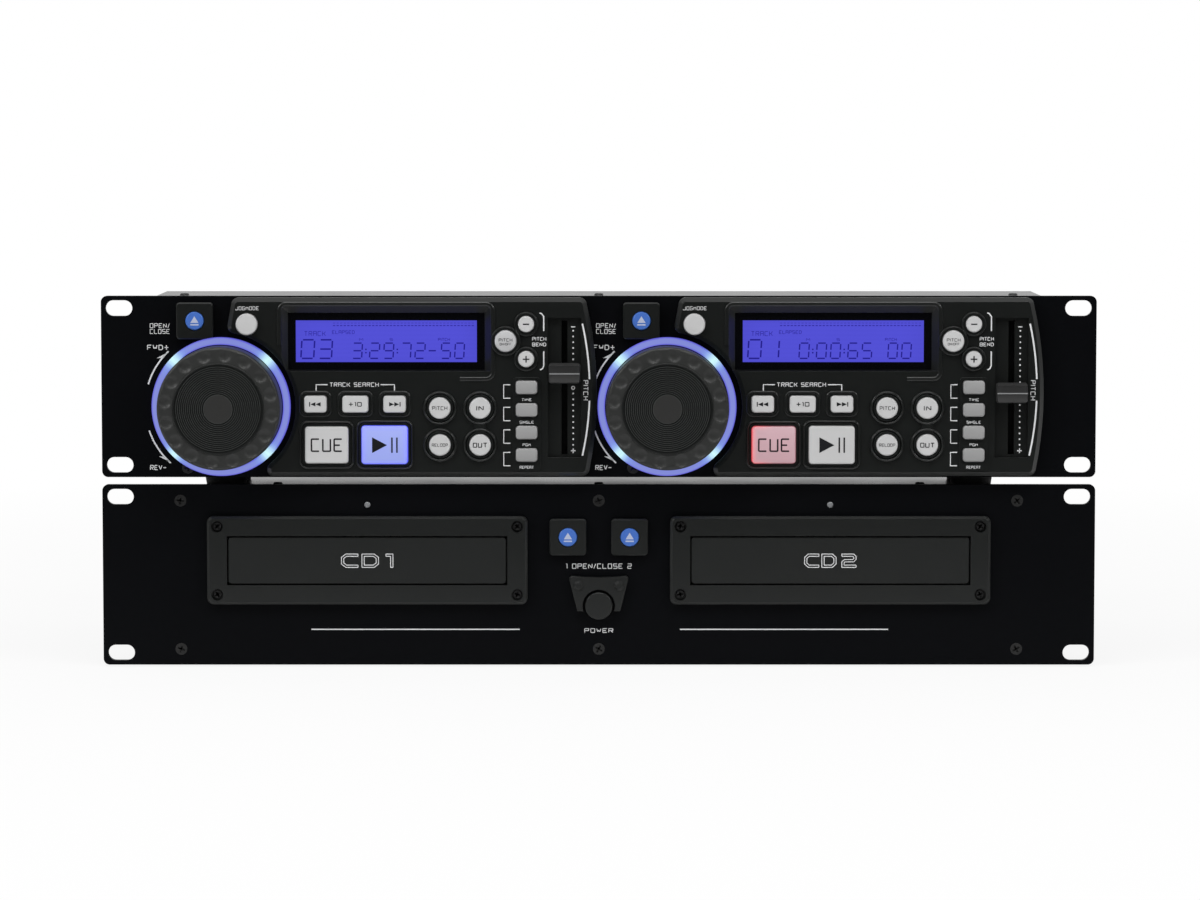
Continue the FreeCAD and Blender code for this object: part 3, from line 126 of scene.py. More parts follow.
class Wiring:
    """The nodes of one tree."""

    def __init__(self, tree: bpy.types.NodeTree) -> None:
        """Keeps the tree."""
        self.tree = tree

    def node(self, kind: str, settings: dict | None = None, sockets: dict | None = None,
             output: int | str = 0) -> Signal:
        """Adds a node, sets it and feeds its sockets.

        Args:
            kind: the node's type.
            settings: its properties; "stops" holds a ramp's positions and colours.
            sockets: values or wires, by input name or number.
            output: the output that is wanted.

        Returns:
            That output.
        """
        made = self.tree.nodes.new(kind)
        for name, value in (settings or {}).items():
            if name == "stops":
                self._stops(made.color_ramp, value)
            else:
                setattr(made, name, value)
        for key, value in (sockets or {}).items():
            self.feed(made.inputs[key], value)
        return Signal(self, made.outputs[output] if made.outputs else None)

    def feed(self, socket: bpy.types.NodeSocket, value: object) -> None:
        """Gives a socket its wire or its value.

        Args:
            socket: the input.
            value: a Signal, a number, a vector or a data block.
        """
        if isinstance(value, Signal):
            self.tree.links.new(value.socket, socket)
        elif isinstance(value, tuple) and len(value) == 3 and socket.type == "RGBA":
            socket.default_value = (*value, 1.0)
        else:
            socket.default_value = value

    def outputs(self, kind: str, names: Iterable[str], sockets: dict | None = None) -> list[Signal]:
        """Several outputs of one new node, by their names."""
        made = self.node(kind, {}, sockets).socket.node
        return [Signal(self, made.outputs[name]) for name in names]

    def split(self, vector: Signal) -> list[Signal]:
        """X, Y and Z of a vector."""
        return self.outputs("ShaderNodeSeparateXYZ", "XYZ", {"Vector": vector})

    def vector(self, x: object = 0.0, y: object = 0.0, z: object = 0.0) -> Signal:
        """A vector from its parts."""
        return self.node("ShaderNodeCombineXYZ", {}, {0: x, 1: y, 2: z})

    def attribute(self, name: str) -> Signal:
        """A number that the mesh carries."""
        return self.node("ShaderNodeAttribute", {"attribute_name": name}, output="Fac")

    def cloud(self, place: Signal, size: float, detail: float = 3.0) -> Signal:
        """Soft noise about 0.5, its spots of a size in millimetres."""
        return self.node("ShaderNodeTexNoise", {}, {"Vector": place, "Scale": 1.0 / (size * MM), "Detail": detail})

    def between(self, share: object, first: object, second: object) -> Signal:
        """Two colours mixed, with this share of the second."""
        return self.node("ShaderNodeMix", {"data_type": "RGBA"}, {0: share, 6: first, 7: second}, 2)

    def shaded(self, value: Signal, colour: Colour, spread: float) -> Signal:
        """A colour made lighter and darker by a value about 0.5, as far as spread each way."""
        return self.between(value, scaled(colour, 1.0 - spread), scaled(colour, 1.0 + spread))

    def bumped(self, height: Signal, depth: float) -> Signal:
        """A normal bent by a height of 0 to 1 that is so many millimetres deep."""
        return self.node("ShaderNodeBump", {}, {"Height": height, "Distance": depth * MM, "Strength": 1.0})

    @staticmethod
    def _stops(ramp: bpy.types.ColorRamp, stops: Sequence[tuple[float, Colour]]) -> None:
        """Sets a ramp's stops.

        Args:
            ramp: the ramp.
            stops: the position and colour of each.
        """
        while len(ramp.elements) < len(stops):
            ramp.elements.new(1.0)
        for element, (place, colour) in zip(ramp.elements, stops):
            element.position = place
            element.color = (*colour, 1.0)


def scaled(colour: Colour, share: float) -> Colour:
    """A colour made darker or lighter."""
    return tuple(min(1.0, c * share) for c in colour)


def emptied(block: bpy.types.ID) -> Wiring:
    """Empties the nodes of a material or a world.

    Args:
        block: the material or the world.

    Returns:
        Its nodes, to be wired.
    """
    block.use_nodes = True
    block.node_tree.nodes.clear()
    return Wiring(block.node_tree)


def linear(red: int, green: int, blue: int) -> Colour:
    """The linear colour of an 8-bit display colour."""
    return tuple((v / 255 / 12.92) if v <= 10 else ((v / 255 + 0.055) / 1.055) ** 2.4
                 for v in (red, green, blue))


# -------------------------------------------------------------------- finishes
@dataclass(frozen=True)
class Finish:
    """A surface: its colour, gloss and grain.

    mottle is how far the colour varies and mottle_size the size of its patches, grain the depth of the fine
    relief and grain_size the size of its spots, the last three in millimetres.
    """

    name: str
    colour: Colour
    roughness: float = 0.45
    metallic: float = 0.0
    specular: float = 0.5
    coat: float = 0.0
    mottle: float = 0.12
    mottle_size: float = 30.0
    grain: float = 0.02
    grain_size: float = 0.35

    COAT_ROUGHNESS: ClassVar = 0.08

    def material(self) -> bpy.types.Material:
        """The finish as a material, made once.

        Returns:
            The material.
        """
        known = bpy.data.materials.get(self.name)
        if known is not None:
            return known
        made = bpy.data.materials.new(self.name)
        wiring = emptied(made)
        place = wiring.node("ShaderNodeTexCoord", output="Object")
        sockets = {"Base Color": self.colour, "Roughness": self.roughness, "Metallic": self.metallic,
                   "Specular IOR Level": self.specular, "Coat Weight": self.coat,
                   "Coat Roughness": self.COAT_ROUGHNESS}
        sockets |= self.dress(wiring, place)
        shader = wiring.node("ShaderNodeBsdfPrincipled", {}, sockets)
        wiring.node("ShaderNodeOutputMaterial", {}, {"Surface": shader})
        made.diffuse_color = (*self.colour, 1.0)
        return made

    def dress(self, wiring: Wiring, place: Signal) -> dict[str, object]:
        """What varies over the surface.

        Args:
            wiring: the material's nodes.
            place: the coordinates.

        Returns:
            The wires for the shader's sockets.
        """
        mottle = wiring.cloud(place, self.mottle_size)
        grain = wiring.cloud(place, self.grain_size, 2.0)
        return {"Base Color": wiring.shaded(mottle, self.colour, self.mottle),
                "Roughness": (self.roughness + (grain - 0.5) * 0.14 + (mottle - 0.5) * 0.1).held(),
                "Normal": wiring.bumped(grain, self.grain)}


@dataclass(frozen=True)
class Moulding(Finish):
    """Moulded plastic with a spark-eroded grain."""

    flow: float = 0.2

    def dress(self, wiring: Wiring, place: Signal) -> dict[str, object]:
        """Cells of a fine grain over a softer flow pattern.

        Args:
            wiring: the material's nodes.
            place: the coordinates.

        Returns:
            The wires for the shader's sockets.
        """
        mottle = wiring.cloud(place, self.mottle_size)
        cells = wiring.node("ShaderNodeTexVoronoi", {"feature": "SMOOTH_F1"},
                            {"Vector": place, "Scale": 1.0 / (self.grain_size * MM), "Smoothness": 0.6})
        soft = wiring.cloud(place, self.grain_size * 3)
        height = cells * 0.6 + soft * 0.4
        return {"Base Color": wiring.shaded(mottle, self.colour, self.mottle),
                "Roughness": (self.roughness + (soft - 0.5) * self.flow).held(),
                "Normal": wiring.bumped(height, self.grain)}


@dataclass(frozen=True)
class Print(Finish):
    """Ink printed on a surface."""

    roughness: float = 0.5
    specular: float = 0.3
    grain: float = 0.004
    grain_size: float = 0.2
    mottle: float = 0.05


@dataclass(frozen=True)
class Glow(Finish):
    """A lit surface: its colour shines as it is written."""

    colour: Colour = (0.0, 0.0, 0.0)
    roughness: float = 0.3
    specular: float = 0.0
    light: Colour = (0.2, 0.2, 0.8)

    def dress(self, wiring: Wiring, place: Signal) -> dict[str, object]:
        """Slightly uneven light.

        Args:
            wiring: the material's nodes.
            place: the coordinates.

        Returns:
            The wires for the shader's sockets.
        """
        mottle = wiring.cloud(place, self.mottle_size)
        return {"Emission Color": wiring.shaded(mottle, self.light, self.mottle),
                "Emission Strength": 1.0,
                "Roughness": (self.roughness + (mottle - 0.5) * 0.1).held()}


@dataclass(frozen=True)
class RingGlow(Glow):
    """The light ring of a jog wheel: bright spots on its diagonals, over the lamps."""

    axis: tuple[float, float] = (0.0, 0.0)
    inner: float = 30.1
    outer: float = 33.7
    spot: Colour = (0.62, 0.95, 0.98)
    halo: Colour = (0.16, 0.36, 1.0)
    border: Colour = (0.06, 0.035, 0.62)
    spot_power: float = 22.0
    halo_power: float = 5.0

    def dress(self, wiring: Wiring, place: Signal) -> dict[str, object]:
        """Light that peaks over the four lamps, streaked outwards and deeper at both borders.

        Args:
            wiring: the material's nodes.
            place: the coordinates.

        Returns:
            The wires for the shader's sockets.
        """
        x, _, z = wiring.split(place)
        across, up = x - self.axis[0] * MM, z - self.axis[1] * MM
        square = across * across + up * up
        lean = (across * up * 2.0) / (square + 1e-9)
        near = (lean * lean) ** self.spot_power
        wide = (lean * lean) ** self.halo_power
        turn = up.maths("ARCTAN2", across)
        spoke = wiring.vector(turn * 30.0, (square ** 0.5) * 120.0)
        streaks = wiring.node("ShaderNodeTexNoise", {}, {"Vector": spoke, "Scale": 1.0, "Detail": 2.0})
        half = (self.outer - self.inner) / 2
        off = ((square ** 0.5) / MM - (self.outer + self.inner) / 2) / half
        rim = ((off * off - 0.25) * 1.3).held()
        base = wiring.between((wide * (0.25 + streaks * 0.5)).held(), self.light, self.halo)
        edged = wiring.between((rim * (1.0 - near) * 0.8).held(), base, self.border)
        peak = (near * (0.62 + streaks * 0.7)).held()
        return {"Emission Color": wiring.between(peak, edged, self.spot),
                "Emission Strength": 1.0}


@dataclass(frozen=True)
class KeyCap(Finish):
    """A translucent grey key, with painted light towards its top and painted shade towards its foot; a lit one glows
    at its edges.
    """

    roughness: float = 0.42
    tint: Colour = (0.0, 0.0, 0.0)
    edge: Colour = (0.0, 0.0, 0.0)
    way: float = 0.0
    # the top is painted lighter and the foot darker, as painted light and shade
    painted_light_top: float = 1.12
    painted_shade_foot: float = 0.84
    glow_from: float = 0.62

    def dress(self, wiring: Wiring, place: Signal) -> dict[str, object]:
        """A painted fade of light and shade from top to foot, and light at the sides of a lit key.

        Args:
            wiring: the material's nodes.
            place: the coordinates.

        Returns:
            The wires for the shader's sockets.
        """
        height, side = wiring.attribute("rise"), wiring.attribute("side")
        mottle = wiring.cloud(place, 0.6, 2.0)
        # painted light at the top of the key and painted shade at its foot
        foot, top = scaled(self.colour, self.painted_shade_foot), scaled(self.colour, self.painted_light_top)
        sockets = {"Base Color": wiring.between(height, foot, top),
                   "Roughness": (self.roughness + (mottle - 0.5) * 0.12).held(),
                   "Normal": wiring.bumped(mottle, 0.01)}
        if max(self.tint) > 0.0:
            upright = height * 2.0 - 1.0
            off = side.maths("ABSOLUTE").maths("MAXIMUM", upright.maths("ABSOLUTE"))
            rim = ((off - self.glow_from) / (1.0 - self.glow_from)).held()
            leaning = (side * self.way).held() if self.way else 1.0
            share = (rim ** 2.0 * leaning).held()
            sockets["Emission Color"] = wiring.between(share, self.tint, self.edge)
            sockets["Emission Strength"] = 1.0
        return sockets


@dataclass(frozen=True)
class Screen(Glow):
    """The lit field of a liquid crystal display, with its fine dot rows."""

    def dress(self, wiring: Wiring, place: Signal) -> dict[str, object]:
        """Light a little darker at its borders, crossed by fine rows.

        Args:
            wiring: the material's nodes.
            place: the coordinates.

        Returns:
            The wires for the shader's sockets.
        """
        rim = wiring.attribute("rim")
        rows = wiring.node("ShaderNodeTexWave", {"wave_type": "BANDS", "bands_direction": "Z"},
                           {"Vector": place, "Scale": 1.0 / (1.1 * MM) / 6.283, "Distortion": 0.0})
        cloud = wiring.cloud(place, 25.0, 1.0)
        level = (rows * 0.05 + cloud * 0.1 + rim * 0.12).held()
        return {"Emission Color": wiring.between(level, self.light, scaled(self.light, 0.55)),
                "Emission Strength": 1.0}


@dataclass(frozen=True)
class BoardLacquer(Finish):
    """A circuit board: lacquer over copper tracks."""

    def dress(self, wiring: Wiring, place: Signal) -> dict[str, object]:
        """Lighter tracks and pads under the lacquer.

        Args:
            wiring: the material's nodes.
            place: the coordinates.

        Returns:
            The wires for the shader's sockets.
        """
        tracks = wiring.node("ShaderNodeTexBrick", {"offset": 0.5},
                             {"Vector": place, "Scale": 90.0, "Mortar Size": 0.03}, "Fac")
        cloud = wiring.cloud(place, 8.0)
        light = tuple(min(1.0, c * 1.9 + 0.01) for c in self.colour)
        return {"Base Color": wiring.between((tracks * 0.8 + cloud * 0.2).held(), self.colour, light),
                "Roughness": (self.roughness + (cloud - 0.5) * 0.2).held(),
                "Normal": wiring.bumped(tracks, 0.03)}


@dataclass(frozen=True)
class Brushed(Finish):
    """Metal with fine lines along X."""

    def dress(self, wiring: Wiring, place: Signal) -> dict[str, object]:
        """Stretched noise in gloss and height.

        Args:
            wiring: the material's nodes.
            place: the coordinates.

        Returns:
            The wires for the shader's sockets.
        """
        stretched = wiring.node("ShaderNodeMapping", {}, {"Vector": place, "Scale": (30.0, 1500.0, 1500.0)})
        lines = wiring.node("ShaderNodeTexNoise", {}, {"Vector": stretched, "Scale": 1.0, "Detail": 2.0})
        return {"Base Color": wiring.shaded(lines, self.colour, self.mottle),
                "Roughness": (self.roughness + (lines - 0.5) * 0.2).held(),
                "Normal": wiring.bumped(lines, self.grain)}


PANEL_BLACK = Finish("panel_black_paint", linear(6, 7, 10), 0.5, specular=0.08, grain=0.006,
                     grain_size=0.5, mottle=0.2, mottle_size=60.0)
CASE_BLACK = Finish("case_black_paint", linear(24, 25, 27), 0.3, specular=0.5, grain=0.012, grain_size=0.6)
CHARCOAL = Moulding("charcoal_moulding", linear(24, 26, 25), 0.34, specular=0.5, coat=0.1, grain=0.015, grain_size=0.3)
FASCIA = Moulding("fascia_moulding", linear(23, 25, 24), 0.3, specular=0.5, coat=0.35, mottle=0.05, grain=0.0,
                  flow=0.03)
DOOR_CHARCOAL = Moulding("door_moulding", linear(27, 29, 28), 0.45, specular=0.4, grain=0.02, grain_size=0.3)
WHEEL_BLACK = Moulding("wheel_rubberised", linear(46, 47, 46), 0.42, specular=0.45, grain=0.012, grain_size=0.25)
# the pad's grooves are painted darker as painted shade, and its front ridges lighter as a painted highlight
PAD_PAINTED_SHADE = Moulding("wheel_pad_painted_groove_shade", linear(21, 23, 22), 0.4, specular=0.3, grain=0.008, grain_size=0.2)
PAD_RIDGE_PAINTED_HIGHLIGHT = Moulding("wheel_pad_ridge_painted_highlight", linear(58, 60, 59), 0.4, specular=0.4, grain=0.008, grain_size=0.2)
PAD_MIDDLE = Moulding("wheel_pad_middle", linear(44, 44, 43), 0.6, specular=0.3, grain=0.05, grain_size=0.35)
FADER_BLACK = Moulding("fader_black", linear(11, 12, 12), 0.4, specular=0.2, grain=0.01, grain_size=0.3)
WINDOW_BLACK = Finish("window_black", linear(8, 8, 11), 0.1, specular=0.16, grain=0.0003, grain_size=5.0)
LOADER_BLACK = Moulding("loader_black", linear(30, 31, 32), 0.5, grain=0.02, grain_size=0.4)
TRAY_BLACK = Moulding("tray_black", linear(27, 28, 29), 0.45, grain=0.02, grain_size=0.4)
FOOT_RUBBER = Moulding("foot_rubber", linear(26, 26, 26), 0.8, specular=0.3, grain=0.05, grain_size=0.5)
SCREW_BLACK = Finish("screw_black", linear(8, 9, 12), 0.4, specular=0.14, grain=0.004, grain_size=0.4)
BOARD_GREEN = BoardLacquer("board_green", linear(20, 78, 46), 0.3)
CHIP_BLACK = Moulding("chip_black", linear(20, 20, 21), 0.6, specular=0.2)
SOCKET_BLACK = Moulding("socket_black", linear(30, 30, 31), 0.5)
JACK_WHITE = Moulding("jack_white", linear(214, 213, 208), 0.4, grain=0.004)
JACK_RED = Moulding("jack_red", linear(176, 28, 30), 0.4, grain=0.004)
NICKEL = Brushed("nickel", linear(196, 194, 188), 0.28, metallic=1.0, grain=0.004)
STEEL = Brushed("bright_steel", linear(176, 178, 180), 0.34, metallic=1.0, grain=0.006)
KEY_GREY = KeyCap("key_grey", linear(166, 166, 166), specular=0.4)
KEY_LIST = KeyCap("key_list_grey", linear(154, 154, 154), specular=0.4)
KEY_WHITE = KeyCap("key_lit_white", linear(186, 186, 187), tint=linear(40, 40, 42), edge=linear(215, 217, 222),
                   way=-1.0)
KEY_BLUE_LIT = KeyCap("key_lit_blue", linear(146, 148, 170), tint=linear(82, 104, 188), edge=linear(66, 66, 250))
KEY_RED_LIT = KeyCap("key_lit_red", linear(172, 160, 165), tint=linear(126, 66, 76), edge=linear(255, 58, 66),
                     way=-1.0)
BUTTON_BLUE = Moulding("button_blue", linear(58, 96, 176), 0.3, specular=0.5, grain=0.005)
LAMP_GREY = Finish("lamp_grey", linear(126, 128, 130), 0.18, coat=0.5, grain=0.001)
WHITE_INK = Print("white_print", linear(222, 223, 224))
GREY_INK = Print("grey_print", linear(138, 139, 140))
BUTTON_INK = Print("button_symbol", linear(182, 190, 212))
DARK_INK = Print("dark_print", linear(22, 23, 27), mottle=0.12)
SEGMENT_INK = Glow("display_segment", light=linear(36, 32, 138))
GHOST_INK = Glow("display_caption", light=linear(52, 48, 162))
SCREEN_LIGHT = Screen("display_light", light=linear(84, 82, 216))


# ---------------------------------------------------------------------- meshes
def placed(name: str, data: bpy.types.ID) -> bpy.types.Object:
    """Puts some data in the scene.

    Args:
        name: the object's name.
        data: what it shows.

    Returns:
        The object.
    """
    made = bpy.data.objects.new(name, data)
    bpy.context.scene.collection.objects.link(made)
    return made


def meshed(name: str, made: bmesh.types.BMesh) -> bpy.types.Mesh:
    """Turns a finished bmesh into a mesh.

    Args:
        name: the mesh's name.
        made: the bmesh, which is then freed.

    Returns:
        The mesh.
    """
    mesh = bpy.data.meshes.new(name)
    made.to_mesh(mesh)
    made.free()
    return mesh


def finished(name: str, mesh: bpy.types.Mesh, body: str,
             finishes: Sequence[Finish], stands_for: Sequence[str] = ()) -> bpy.types.Object:
    """Makes a mesh a finished piece of the object.

    Args:
        name: the piece's name.
        mesh: its mesh, in place.
        body: the body that it rides on.
        finishes: its materials, in the order of the mesh's face indices.
        stands_for: the CAD nodes that it replaces.

    Returns:
        The piece.
    """
    indices = [face.material_index for face in mesh.polygons]
    mesh.materials.clear()
    for finish in finishes:
        mesh.materials.append(finish.material())
    mesh.polygons.foreach_set("material_index", indices)
    worker = placed(name + "_worker", mesh)
    even = worker.modifiers.new("even", "WEIGHTED_NORMAL")
    even.keep_sharp = True
    even.weight = 80
    piece = placed(name, plain(worker, name))
    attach(piece, body)
    if stands_for:
        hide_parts(*stands_for)
    log.info("%s: %d faces on %s", name, len(mesh.polygons), body)
    return piece


def moving(node: str, mesh: bpy.types.Mesh, finishes: Sequence[Finish]) -> None:
    """Makes a mesh the finished piece of a node that has a body of its own."""
    finished(node + "_dressed", mesh, node + "_body", finishes, [node])


def joined(name: str, parts: Iterable[tuple[bpy.types.Mesh, int]]) -> bpy.types.Mesh:
    """Joins meshes into one.

    Args:
        name: the new mesh's name.
        parts: each mesh, and the material index that its faces take, or -1 to keep theirs.

    Returns:
        The joined mesh.
    """
    made = bmesh.new()
    for mesh, index in parts:
        first = len(made.faces)
        made.from_mesh(mesh)
        made.faces.ensure_lookup_table()
        if index >= 0:
            for face in made.faces[first:]:
                face.material_index = index
    return meshed(name, made)


def plain(mesh_object: bpy.types.Object, name: str) -> bpy.types.Mesh:
    """The evaluated mesh of an object with live modifiers, which is then removed.

    Args:
        mesh_object: the object.
        name: the name of the mesh.

    Returns:
        The plain mesh.
    """
    graph = bpy.context.evaluated_depsgraph_get()
    mesh = bpy.data.meshes.new_from_object(mesh_object.evaluated_get(graph), depsgraph=graph)
    mesh.name = name
    mesh_object.modifiers.clear()
    bpy.data.objects.remove(mesh_object)
    return mesh


def smooth(mesh: bpy.types.Mesh, crease: float = 32.0) -> bpy.types.Mesh:
    """Shades a mesh smooth with sharp edges.

    Args:
        mesh: the mesh.
        crease: the turn in degrees from which an edge is sharp.

    Returns:
        The same mesh.
    """
    mesh.polygons.foreach_set("use_smooth", [True] * len(mesh.polygons))
    mesh.set_sharp_from_angle(angle=math.radians(crease))
    return mesh


def by_island(mesh: bpy.types.Mesh, rule: Callable[[Vector, Vector], int]) -> None:
    """Gives each separate solid of a mesh its own material index, in the order of the solids' first faces.

    Args:
        mesh: the mesh.
        rule: the index, from the middle and the size of a solid's box in millimetres.
    """
    made = bmesh.new()
    made.from_mesh(mesh)
    made.faces.ensure_lookup_table()
    done = set()
    for first in made.faces:
        if first in done:
            continue
        island = {first}
        edge = set(island)
        while edge:
            near = {other for face in edge for side in face.edges for other in side.link_faces}
            edge = near - island
            island |= edge
        done |= island
        points = [vertex.co / MM for face in island for vertex in face.verts]
        low = Vector([min(p[k] for p in points) for k in range(3)])
        high = Vector([max(p[k] for p in points) for k in range(3)])
        index = rule((low + high) / 2, high - low)
        for face in island:
            face.material_index = index
    made.to_mesh(mesh)
    made.free()


def turned(name: str, axis: Point, profile: Sequence[Point], steps: int = 96) -> bpy.types.Mesh:
    """A shape turned about an axis along Y.

    Args:
        name: the mesh's name.
        axis: the axis, as X and Z in millimetres.
        profile: radius and Y of each ring, from the middle of the front outwards and back.
        steps: the sides of each ring.

    Returns:
        The mesh, its faces outwards.
    """
    made = bmesh.new()
    rings = []
    for radius, depth in profile:
        if radius <= 0.0:
            rings.append([made.verts.new((axis[0] * MM, depth * MM, axis[1] * MM))])
            continue
        turns = (2 * math.pi * k / steps for k in range(steps))
        rings.append([made.verts.new(((axis[0] + radius * math.cos(t)) * MM, depth * MM,
                                      (axis[1] + radius * math.sin(t)) * MM)) for t in turns])
    for inner, outer in zip(rings, rings[1:]):
        for k in range(steps):
            following = (k + 1) % steps
            if len(inner) == 1 and len(outer) == 1:
                continue
            if len(inner) == 1:
                made.faces.new((inner[0], outer[k], outer[following]))
            elif len(outer) == 1:
                made.faces.new((inner[k], outer[0], inner[following]))
            else:
                made.faces.new((inner[k], outer[k], outer[following], inner[following]))
    bmesh.ops.recalc_face_normals(made, faces=made.faces)
    return meshed(name, made)


def slab(name: str, outline: Sequence[Point], front: float, back: float) -> bpy.types.Mesh:
    """A flat plate that faces -Y.

    Args:
        name: the mesh's name.
        outline: X and Z of its corners, in millimetres, anticlockwise seen from the front.
        front: Y of its face.
        back: Y of its back.

    Returns:
        The mesh.
    """
    made = bmesh.new()
    near = [made.verts.new((x * MM, front * MM, z * MM)) for x, z in outline]
    far = [made.verts.new((x * MM, back * MM, z * MM)) for x, z in outline]
    made.faces.new(near)
    made.faces.new(far[::-1])
    for k, vertex in enumerate(near):
        following = (k + 1) % len(near)
        made.faces.new((vertex, far[k], far[following], near[following]))
    bmesh.ops.recalc_face_normals(made, faces=made.faces)
    return meshed(name, made)


@dataclass
class Refined:
    """A node's solids, made fit to be seen: merged, their edges eased, shaded smooth.

    Lengths are in millimetres and angles in degrees.
    """

    node: str
    ease: float = 0.0
    crease: float = 32.0
    merge: float = 0.0005
    flat_within: float = 0.5
    ease_above: float = 38.0
    ease_steps: int = 3

    def mesh(self) -> bpy.types.Mesh:
        """Copies and refines the node's mesh.

        Returns:
            The refined mesh.
        """
        made = bmesh.new()
        made.from_mesh(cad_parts[self.node].data)
        bmesh.ops.remove_doubles(made, verts=made.verts, dist=self.merge * MM)
        bmesh.ops.dissolve_limit(made, angle_limit=math.radians(self.flat_within), verts=made.verts, edges=made.edges)
        mesh = meshed(self.node + "_refined", made)
        mesh.materials.clear()
        mesh.polygons.foreach_set("material_index", [0] * len(mesh.polygons))
        if self.ease > 0.0:
            worker = placed("easing", mesh)
            bevel = worker.modifiers.new("ease", "BEVEL")
            bevel.width = self.ease * MM
            bevel.segments = self.ease_steps
            bevel.limit_method = "ANGLE"
            bevel.angle_limit = math.radians(self.ease_above)
            bevel.harden_normals = False
            mesh = plain(worker, self.node + "_eased")
        return smooth(mesh, self.crease)


def solids_of(node: str) -> list[tuple[Vector, Vector]]:
    """Finds the solids of a node.

    Args:
        node: the CAD node.

    Returns:
        The middle and the size of each solid's box, in millimetres.
    """
    found = []
    by_island(Refined(node).mesh(), lambda centre, size: found.append((centre, size)) or 0)
    return found


# -------------------------------------------------------------------- lettering
GLYPHS = {
    "A": "00-04-44-40 02-42", "B": "00-04-44-40-z 02-42", "C": "44-04-00-40", "D": "00-04-34-43-41-30-z",
    "E": "44-04-00-40 02-32", "F": "44-04-00 02-32", "G": "44-04-00-40-42-22", "H": "00-04 40-44 02-42",
    "I": "00-04", "J": "44-40-00-01", "K": "00-04 44-22-40 02-22", "L": "04-00-40",
    "M": "00-04-22-44-40", "N": "00-04-40-44", "O": "00-04-44-40-z", "P": "00-04-44-42-02",
    "R": "00-04-44-42-02 22-40", "S": "44-04-02-42-40-00", "T": "04-44 24-20", "U": "04-00-40-44",
    "V": "04-20-44", "W": "04-10-23-30-44", "+": "02-42 20-24", "-": "02-42", "/": "00-24",
    "0": "00-04-44-40-z", "1": "04-14-10", "2": "04-44-42-02-00-40", " ": "",
}
NARROW = {"I": 0, "1": 1, "/": 2, " ": 2}
SEGMENTS = {
    "0": "abcdef", "1": "bc", "2": "abged", "3": "abgcd", "5": "afgcd", "6": "afgedc", "7": "abc",
    "9": "gfabcd", "-": "g",
}
BARS = {"a": "02-12", "b": "12-11", "c": "11-10", "d": "00-10", "e": "01-00", "f": "02-01", "g": "01-11"}


@dataclass
class Rule:
    """A geometry node tree with named inputs, whose result is real geometry with one material."""

    name: str
    given: str
    numbers: Sequence[str]
    material: str
    result: str
    shape: Callable[[Wiring, dict[str, Signal]], Signal]

    def tree(self) -> bpy.types.NodeTree:
        """Makes the node tree, once.

        Returns:
            The tree.
        """
        known = bpy.data.node_groups.get(self.name)
        if known is not None:
            return known
        tree = bpy.data.node_groups.new(self.name, "GeometryNodeTree")
        inputs = {self.given: "NodeSocketGeometry", **dict.fromkeys(self.numbers, "NodeSocketFloat"),
                  self.material: "NodeSocketMaterial"}
        for name, kind in inputs.items():
            tree.interface.new_socket(name, in_out="INPUT", socket_type=kind)
        tree.interface.new_socket(self.result, in_out="OUTPUT", socket_type="NodeSocketGeometry")
        wiring = Wiring(tree)
        given = wiring.node("NodeGroupInput").socket.node
        at = {name: Signal(wiring, given.outputs[name]) for name in inputs}
        real = wiring.node("GeometryNodeRealizeInstances", {}, {"Geometry": self.shape(wiring, at)})
        done = wiring.node("GeometryNodeSetMaterial", {}, {"Geometry": real, "Material": at[self.material]})
        wiring.node("NodeGroupOutput", {}, {self.result: done})
        return tree

    def mesh(self, name: str, data: bpy.types.ID, **values: object) -> bpy.types.Mesh:
        """What the rule makes of some data, as a plain mesh.

        Args:
            name: the mesh's name.
            data: the mesh or curve that the rule is given.
            values: its other inputs by name, with _ for a space.

        Returns:
            The plain mesh.
        """
        worker = placed(name, data)
        modifier = worker.modifiers.new(self.name, "NODES")
        modifier.node_group = self.tree()
        sockets = {item.name: item.identifier for item in modifier.node_group.interface.items_tree
                   if item.item_type == "SOCKET" and item.in_out == "INPUT"}
        for key, value in values.items():
            modifier[sockets[key.replace("_", " ")]] = value
        return plain(worker, name)


def filleted(wiring: Wiring, path: Signal, radius: Signal, points: int, **sockets: object) -> Signal:
    """A path with its corners rounded by short straight parts.

    Args:
        wiring: the tree's nodes.
        path: the path.
        radius: the corners' radius.
        points: the parts of each corner.
        sockets: further inputs of the node, with _ for a space.

    Returns:
        The rounded path.
    """
    more = {key.replace("_", " "): value for key, value in sockets.items()}
    rounded = wiring.node("GeometryNodeFilletCurve", {}, {"Curve": path, "Radius": radius, **more})
    node = rounded.socket.node
    if hasattr(node, "mode"):
        node.mode = "POLY"
    node.inputs["Count"].default_value = points
    return rounded


def drawn(wiring: Wiring, at: dict[str, Signal]) -> Signal:
    """The pen that draws strokes: rounds each corner of a path and sweeps a flat nib along it.

    Args:
        wiring: the tree's nodes.
        at: the tree's inputs by name.

    Returns:
        The strokes.
    """
    rounded = filleted(wiring, at["Path"], at["Corner"], 3)
    nib = wiring.node("GeometryNodeCurvePrimitiveQuadrilateral", {"mode": "RECTANGLE"},
                      {"Width": at["Stroke"], "Height": at["Film"]})
    swept = wiring.node("GeometryNodeCurveToMesh", {},
                        {"Curve": rounded, "Profile Curve": nib, "Fill Caps": True})
    return wiring.node("GeometryNodeSetShadeSmooth", {}, {"Geometry": swept, "Shade Smooth": False})


PEN = Rule("pen", "Path", ("Stroke", "Film", "Corner"), "Ink", "Print", drawn)


